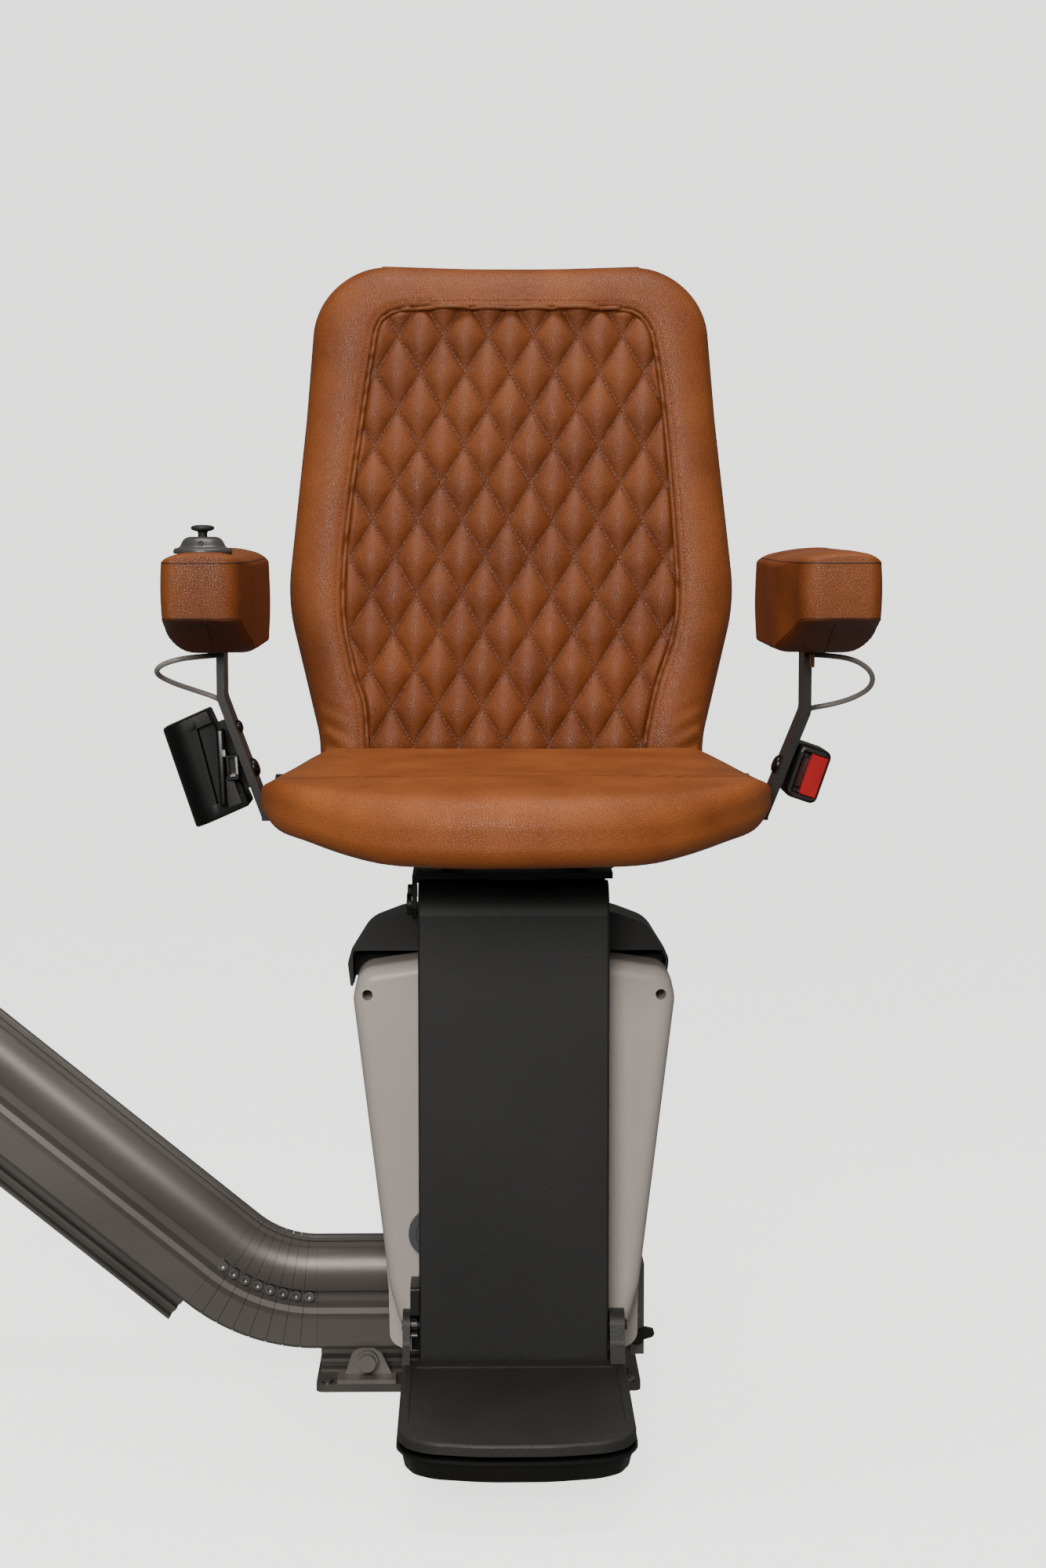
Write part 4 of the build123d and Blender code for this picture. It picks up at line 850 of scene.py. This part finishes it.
def make_pad(name):
    """Armrest pad with its seams: the walls bulge, the underside is a wedge."""
    data = PADS[name]
    sign, outer, inner_front, inner_rear, _ = data
    half = (24.0, 96.0, 62.0)
    bm = rounded_box(half, 9.0, 44)
    for vert in bm.verts:
        u, v, t = ((c / h + 1) / 2 for c, h in zip(vert.co, half))
        y = PAD_FRONT + (PAD_REAR - PAD_FRONT) * v
        inner = pad_inner(data, y) + roll(y - PAD_FRONT, 26, 9)
        belly = 1.2 * math.sin(math.pi * t)
        x = inner + (outer - inner) * u
        low = pad_low(data, x, y)
        top = pad_top(data, x, y)
        z = low + (top - low) * t
        x += (u - 0.5) * 2 * belly
        y += (v - 0.5) * 2 * belly
        x += 0.5 * noise.noise(Vector((x, y, z)) * 0.03)
        z += 0.5 * noise.noise(Vector((x, y, z + 50)) * 0.03)
        vert.co = (sign * x, y, z)
    if sign < 0:
        bmesh.ops.reverse_faces(bm, faces=bm.faces)
    bmesh.ops.recalc_face_normals(bm, faces=bm.faces)
    # painted shade in the leather's colour: darker on the underside, a little darker on the front faces,
    # darker on the inner side towards the seat
    shadow = bm.verts.layers.float.new("crease_and_painted_shade")
    bm.normal_update()
    for vert in bm.verts:
        below = 0.65 * ease(0.2, 0.7, -vert.normal.z)
        front = 0.12 * ease(0.5, 0.95, -vert.normal.y)
        vert[shadow] = max(below, front, 0.3 * ease(0.3, 0.85, -sign * vert.normal.x))
    tree = BVHTree.FromBMesh(bm)
    body = body_of(name + "_arm_pad")
    pad = finish_piece(name + "_pad", bm, SLOTS["leather"], body, [name + "_arm_pad"])

    plan = [(inner_rear, PAD_REAR), (inner_rear, -325), (inner_front, -378), (inner_front, PAD_FRONT)]
    plan = rounded(plan + [(outer, PAD_FRONT), (outer, PAD_REAR)], [0, 60, 60, 14, 14, 0], 8)

    def ring(height):
        laid = []
        for (x, y), (along_x, along_y) in evenly(plan, 2.9):
            place = Vector((sign * x, y, height(x, y)))
            inward = Vector((-sign * along_y, along_x, 0))
            spot, normal = on_surface(tree, place, inward, -0.35)
            along = Vector((sign * along_x, along_y, 0))
            if spot.y < PAD_REAR - 18 and (not laid or (spot - laid[-1][0]).normalized().dot(along) > 0.7):
                laid.append((spot, along, normal))
        return laid

    upper = ring(lambda x, y: PAD_SEAM)
    lower = ring(lambda x, y: pad_low(data, x, y) + 4.5)
    middle = (outer + inner_front) / 2 - 4
    zip_line = []
    for step in range(19):
        place = Vector((sign * middle, PAD_FRONT + 3 + 5 * step, 700))
        zip_line.append(on_surface(tree, place, Vector((0, 0, 1)), 0.0)[0])
    lines = [[spot for spot, _, _ in upper], [spot for spot, _, _ in lower], zip_line]
    finish_piece(name + "_pad_seams", tube(lines, 0.7, 1), SEAM_THREAD, body)
    thread = bmesh.new()
    drop = Vector((0, 0, -STITCH_DROP))
    front = [row for row in upper if row[0].y < PAD_FRONT + 30]
    add_stitches(thread, [(spot + drop, along, normal, 2.2, 0.6) for spot, along, normal in front])
    finish_piece(name + "_pad_stitches", thread, SEAM_THREAD, body)
    if name == "right":
        steps = [(0.2, 299.2), (0, 299.4), (0, 300.4), (0.2, 300.6), (1.1, 300.6), (1.2, 300.1)]
        tab = stacked(layers((262.0, 266.6, 729.8, 744.6), 1.4, steps))
        finish_piece("zip_pull", placed(tab, FRONTWARD), ZIP_METAL, body, sharp=35)


# ---- joystick and belt parts --------------------------------------------------------------------
JOYSTICK = Vector((-270.5, -370.0, 832.0))
DOME = [(9.6, 14), (9.6, 1), (24.6, 0.2), (25.3, 0.9), (25.5, 2.4), (25.1, 4.0), (23.8, 5.0), (21.4, 5.5)]
DOME += [(19.8, 6.5), (18.9, 8.2), (17.8, 10.6), (16.2, 12.7), (14.4, 14), (12.4, 14.7), (10.6, 14.9)]
DOME += [(9.6, 14)]
STICK = [(0, 0.6), (3.6, 1.3), (6.0, 4), (6.5, 7), (6.0, 9.6), (4.4, 11.8), (4.1, 14), (4.1, 18), (4.8, 19.4)]
STICK += [(7.6, 19.9), (9.6, 20.8), (10.2, 22.2), (9.8, 23.5), (8.2, 24.4), (5, 24.9), (0, 25.1)]


def make_joystick():
    """Dome with a ring at its foot, the stick in it, and a small round lens on its front."""
    base = lathe(DOME, 56)
    bmesh.ops.translate(base, vec=JOYSTICK, verts=base.verts)
    body = body_of("joystick_base")
    finish_piece("joystick_dome", base, SLOTS["base_plastic"], body, ["joystick_base"], 40)
    stick = lathe(STICK, 48)
    bmesh.ops.translate(stick, vec=JOYSTICK, verts=stick.verts)
    grip = SLOTS["stick_plastic"]
    finish_piece("joystick_grip", stick, grip, body_of("joystick"), ["joystick"], 40)
    mark = lathe([(1.2, 0.3), (1.5, 0.8), (2.0, 0.8), (2.3, 0.3), (2.3, -0.8), (1.2, -0.8), (1.2, 0.3)], 24)
    lean = Matrix.Rotation(math.radians(90), 4, "X") @ Matrix.Rotation(math.radians(-17), 4, "X")
    place = Matrix.Translation(JOYSTICK + Vector((0, -18.3, 9.5))) @ lean
    bmesh.ops.transform(mark, matrix=place, verts=mark.verts)
    finish_piece("joystick_light", mark, SLOTS["buckle_plastic"], body, sharp=40)


def domed_bolt(radius, height):
    """Round head, low dome with a rolled edge."""
    shares = [(0, 1), (0.45, 0.94), (0.75, 0.74), (0.93, 0.42), (1, 0.14), (1, 0), (0, 0)]
    return lathe([(radius * out, height * up) for out, up in shares], 28)


BOLT_Y = -238.0
LEFT_BAR = move(-243.8, 0, 640) @ turn("Y", -20.2)
RIGHT_BAR = move(245.5, 0, 640) @ turn("Y", 21.96)
BAR_FACE = 3.65
REEL = move(-283.5, 0, 635) @ turn("Y", -24)
REEL_FRONT = -262.0
REEL_LOW = -46.5
REEL_HIGH = 48.5
BUCKLE = move(259.6, 0, 659.8) @ turn("Y", 19)


def reel_section(height, inset, deep):
    """Section of the reel's case (x, y): a large radius at the front left, a recess at the right."""
    left = -24.6 + 4.7 * height / 47
    edge = 5.0 + 11.0 * height / 64
    front, rear = REEL_FRONT + inset, -206.0 - inset
    corners = [(left + inset, rear), (left + inset, front), (edge, front), (edge + 0.4, front + deep)]
    corners += [(25.4 - inset, front + deep), (25.8 - inset, front + 0.01), (25.8 - inset, rear)]
    return rounded(corners, [4, 21, 0.3, 0.3, 0.3, 0.3, 3], 8)


def make_reel():
    """Belt reel with its recess, the lug on the bar, and the latch with its framed eye."""
    rows = [(REEL_LOW, 1.4, 0.02), (REEL_LOW + 1.0, 0.3, 0.02), (REEL_LOW + 2.4, 0, 0.02), (-33.2, 0, 0.02)]
    rows += [(-33.0, 0, 9.0), (36.0, 0, 9.0), (36.2, 0, 0.02), (REEL_HIGH - 2.4, 0, 0.02)]
    rows += [(REEL_HIGH - 1.0, 0.3, 0.02), (REEL_HIGH, 1.4, 0.02)]
    case = stacked([(reel_section(height, inset, deep), height) for height, inset, deep in rows])
    placed(case, REEL)
    body = body_of("belt_reel")
    finish_piece("reel_case", case, SLOTS["reel_plastic"], body, ["belt_reel"], 35)
    lug = stacked(layers((-16, -BAR_FACE, -238, -220), 1, [(0, -22), (0, 44)]))
    finish_piece("reel_lug", placed(lug, LEFT_BAR), SLOTS["reel_plastic"], body, sharp=35)
    line = rounded([(-270.3, 672.8), (-263.2, 673), (-261, 602.5), (-267, 603.5)], [3, 3, 1.5, 1.5], 6)
    latch = placed(stacked([(line, 254), (line, 270)]), FRONTWARD)
    rim = [e for e in latch.edges if all(v.co.y < -269.9 for v in e.verts)]  # the edge of its front face
    bmesh.ops.bevel(latch, geom=rim, offset=2.0, segments=3, profile=0.5, affect="EDGES", material=-1)
    finish_piece("belt_latch", latch, GLOSS_BLACK, body, ["belt_tongue"], 35)
    at_eye = move(-260.2, 0, 626.5) @ turn("Y", -4)
    steps = [(1.2, 0, 262), (1.2, 0, 270.2), (0.8, 0.6, 271), (0.6, 2.4, 271), (0.5, 2.6, 265)]
    eye = stacked([(plate(0, 11, 0, 23, radius, -inset), height) for radius, inset, height in steps])
    placed(eye, at_eye, FRONTWARD)
    finish_piece("latch_eye", eye, GLOSS_BLACK, body, sharp=35)
    tabs = [plate(3.2, 7.8, 3.2, 5, 0.4), plate(-2.6, 0.2, 22, 28, 0.6), plate(8.6, 10.4, 5, 21, 0.4)]
    tabs = merged([placed(stacked([(tab, 264), (tab, 271.4)]), at_eye, FRONTWARD) for tab in tabs])
    finish_piece("latch_edges", tabs, SLOTS["steel"], body, sharp=35)
    foot = stacked([(plate(8, 21, -264, -262.4, 0.4), -41), (plate(12, 23, -264, -262.4, 0.4), -14)])
    mouth = SLOTS["buckle_plastic"]
    finish_piece("belt_mouth", placed(foot, REEL), mouth, body, sharp=35)


def make_bolts():
    """Dome-headed bolts that hold the reel and the buckle on the bars."""
    heads = merged([
        placed(domed_bolt(radius, height), LEFT_BAR, move(BAR_FACE, BOLT_Y, along), turn("Y", 90))
        for along, radius, height in ((-6, 9.0, 5.0), (34, 6.2, 4.0))
    ])
    body = body_of("reel_bolts")
    finish_piece("reel_bolt_heads", heads, GLOSS_BLACK, body, ["reel_bolts"], 50)
    head = placed(domed_bolt(9.0, 5.0), RIGHT_BAR, move(-BAR_FACE, BOLT_Y, -4), turn("Y", -90))
    body = body_of("buckle_bolt")
    finish_piece("buckle_bolt_head", head, GLOSS_BLACK, body, ["buckle_bolt"], 50)


def make_buckle():
    """Buckle: rounded case with a deep window, the red button fills its right part."""
    outer = [(2, 206), (0.4, 208), (0, 210), (0, 264), (0.6, 266.6), (2, 268)]
    window = [(-0.4, 268), (0, 267.6), (0.3, 250)]
    rings = layers((0, 30.5, -50, 0), 6.5, outer) + layers((5.0, 28.6, -44.6, -5.8), 2.4, window)
    body = body_of("belt_buckle")
    case = placed(stacked(rings), BUCKLE, FRONTWARD)
    finish_piece("buckle_case", case, SLOTS["buckle_plastic"], body, ["belt_buckle"], 40)
    slot = stacked(layers((-42, -16, -262, -258.6), 1.4, [(0, -0.25), (0.3, 0.1)]))
    placed(slot, BUCKLE, turn("Y", -90))
    finish_piece("buckle_slot", slot, GLOSS_BLACK, body, sharp=40)
    body = body_of("buckle_button")
    key = stacked(layers((12.6, 28.2, -44.2, -6.2), 0.8, [(0, 255.5), (0, 267.6), (0.5, 268.2)]))
    placed(key, BUCKLE, FRONTWARD)
    finish_piece("press_button", key, SLOTS["red_plastic"], body, ["buckle_button"], 30)
    step = stacked(layers((6.6, 12.6, -39.5, -11.5), 0.6, [(0, 255.5), (0, 258.5), (0.4, 259)]))
    placed(step, BUCKLE, FRONTWARD)
    finish_piece("button_step", step, DARK_RED, body, sharp=30)


BEND_ANGLE = 39.4
BEND_AT = (-195.5, 0, 238)  # the middle of the bend's circle


def make_bend_core():
    """Web and foot inside the rail's bend, so that no light shows between its segments."""
    bm = bmesh.new()
    half = [(1, -114), (1, -182), (42, -182), (42, -205.2)]
    verts = [bm.verts.new((0, y, z)) for y, z in half + [(-y, z) for y, z in reversed(half)]]
    edges = [bm.edges.new(pair) for pair in zip(verts, verts[1:] + verts[:1])]
    bend = math.radians(BEND_ANGLE)
    bmesh.ops.spin(bm, geom=verts + edges, axis=(0, 1, 0), cent=(0, 0, 0), angle=bend, steps=16)
    rims = [e for e in bm.edges if e.is_boundary]
    bmesh.ops.edgeloop_fill(bm, edges=rims)
    placed(bm, move(*BEND_AT))
    body = body_of("rail_bend_segments")
    finish_piece("bend_core", bm, SLOTS["base_paint"], body, sharp=30)


trim_backrest(make_backrest())
make_seat()
for pad_name in PADS:
    make_pad(pad_name)
make_joystick()
make_reel()
make_bolts()
make_buckle()
make_bend_core()


# ---- stage --------------------------------------------------------------------------------------
def stage_material(name, colour, glow):
    """Plain pale studio paper: even and dull, its glow stands for the light of a whole white room."""
    material, tree = new_tree(name)
    normal = add(tree, "NewGeometry").outputs["Normal"]
    tint = linear(colour)
    shade(tree, tint, 0.9, normal, Emission_Color=tint, Emission_Strength=glow)
    return material


BELOW_PART = 0.0005  # the paper lies just under the foot plate


def make_stage():
    """Pale paper floor that curves up into a round wall, so that every side has the same backdrop."""
    start, radius, top = 6.0, 3.0, 14.0
    sweep = [math.radians(6 * step) for step in range(16)]
    curve = [(start + radius * math.sin(a), radius * (1 - math.cos(a))) for a in sweep]
    bm = lathe([(0, 0)] + curve + [(start + radius, top)], 96)
    mesh = bpy.data.meshes.new("floor")
    bm.to_mesh(mesh)
    bm.free()
    mesh.shade_smooth()
    mesh.materials.append(stage_material("studio_paper", "#f2f1ef", 2.2))
    floor = bpy.data.objects.new("floor", mesh)
    floor.location.z = -BELOW_PART
    floor.visible_diffuse = False
    floor.visible_glossy = False
    SCENE.collection.objects.link(floor)


def make_light(name, place, aim, size, power, colour):
    data = bpy.data.lights.new(name, "AREA")
    data.shape = "RECTANGLE"
    data.size, data.size_y = size
    data.energy = power
    data.color = colour
    light = bpy.data.objects.new(name, data)
    light.location = place
    light.rotation_euler = (Vector(aim) - Vector(place)).to_track_quat("-Z", "Y").to_euler()
    SCENE.collection.objects.link(light)


ROOM_LIGHT = 0.16


def make_lights():
    """A broad soft key above the camera, a soft light overhead, and a dim room."""
    make_light("key", (-0.5, -3.3, 1.7), (0, -0.2, 0.55), (1.3, 1.3), 88, (1, 0.985, 0.96))
    make_light("top", (0.0, -0.6, 2.7), (0, -0.3, 0.5), (1.8, 1.0), 34, (1, 1, 1))
    world = bpy.data.worlds.new("studio")
    world.use_nodes = True
    back = world.node_tree.nodes["Background"]
    back.inputs["Color"].default_value = linear("#fbfaf8")
    back.inputs["Strength"].default_value = ROOM_LIGHT
    SCENE.world = world


make_stage()
make_lights()
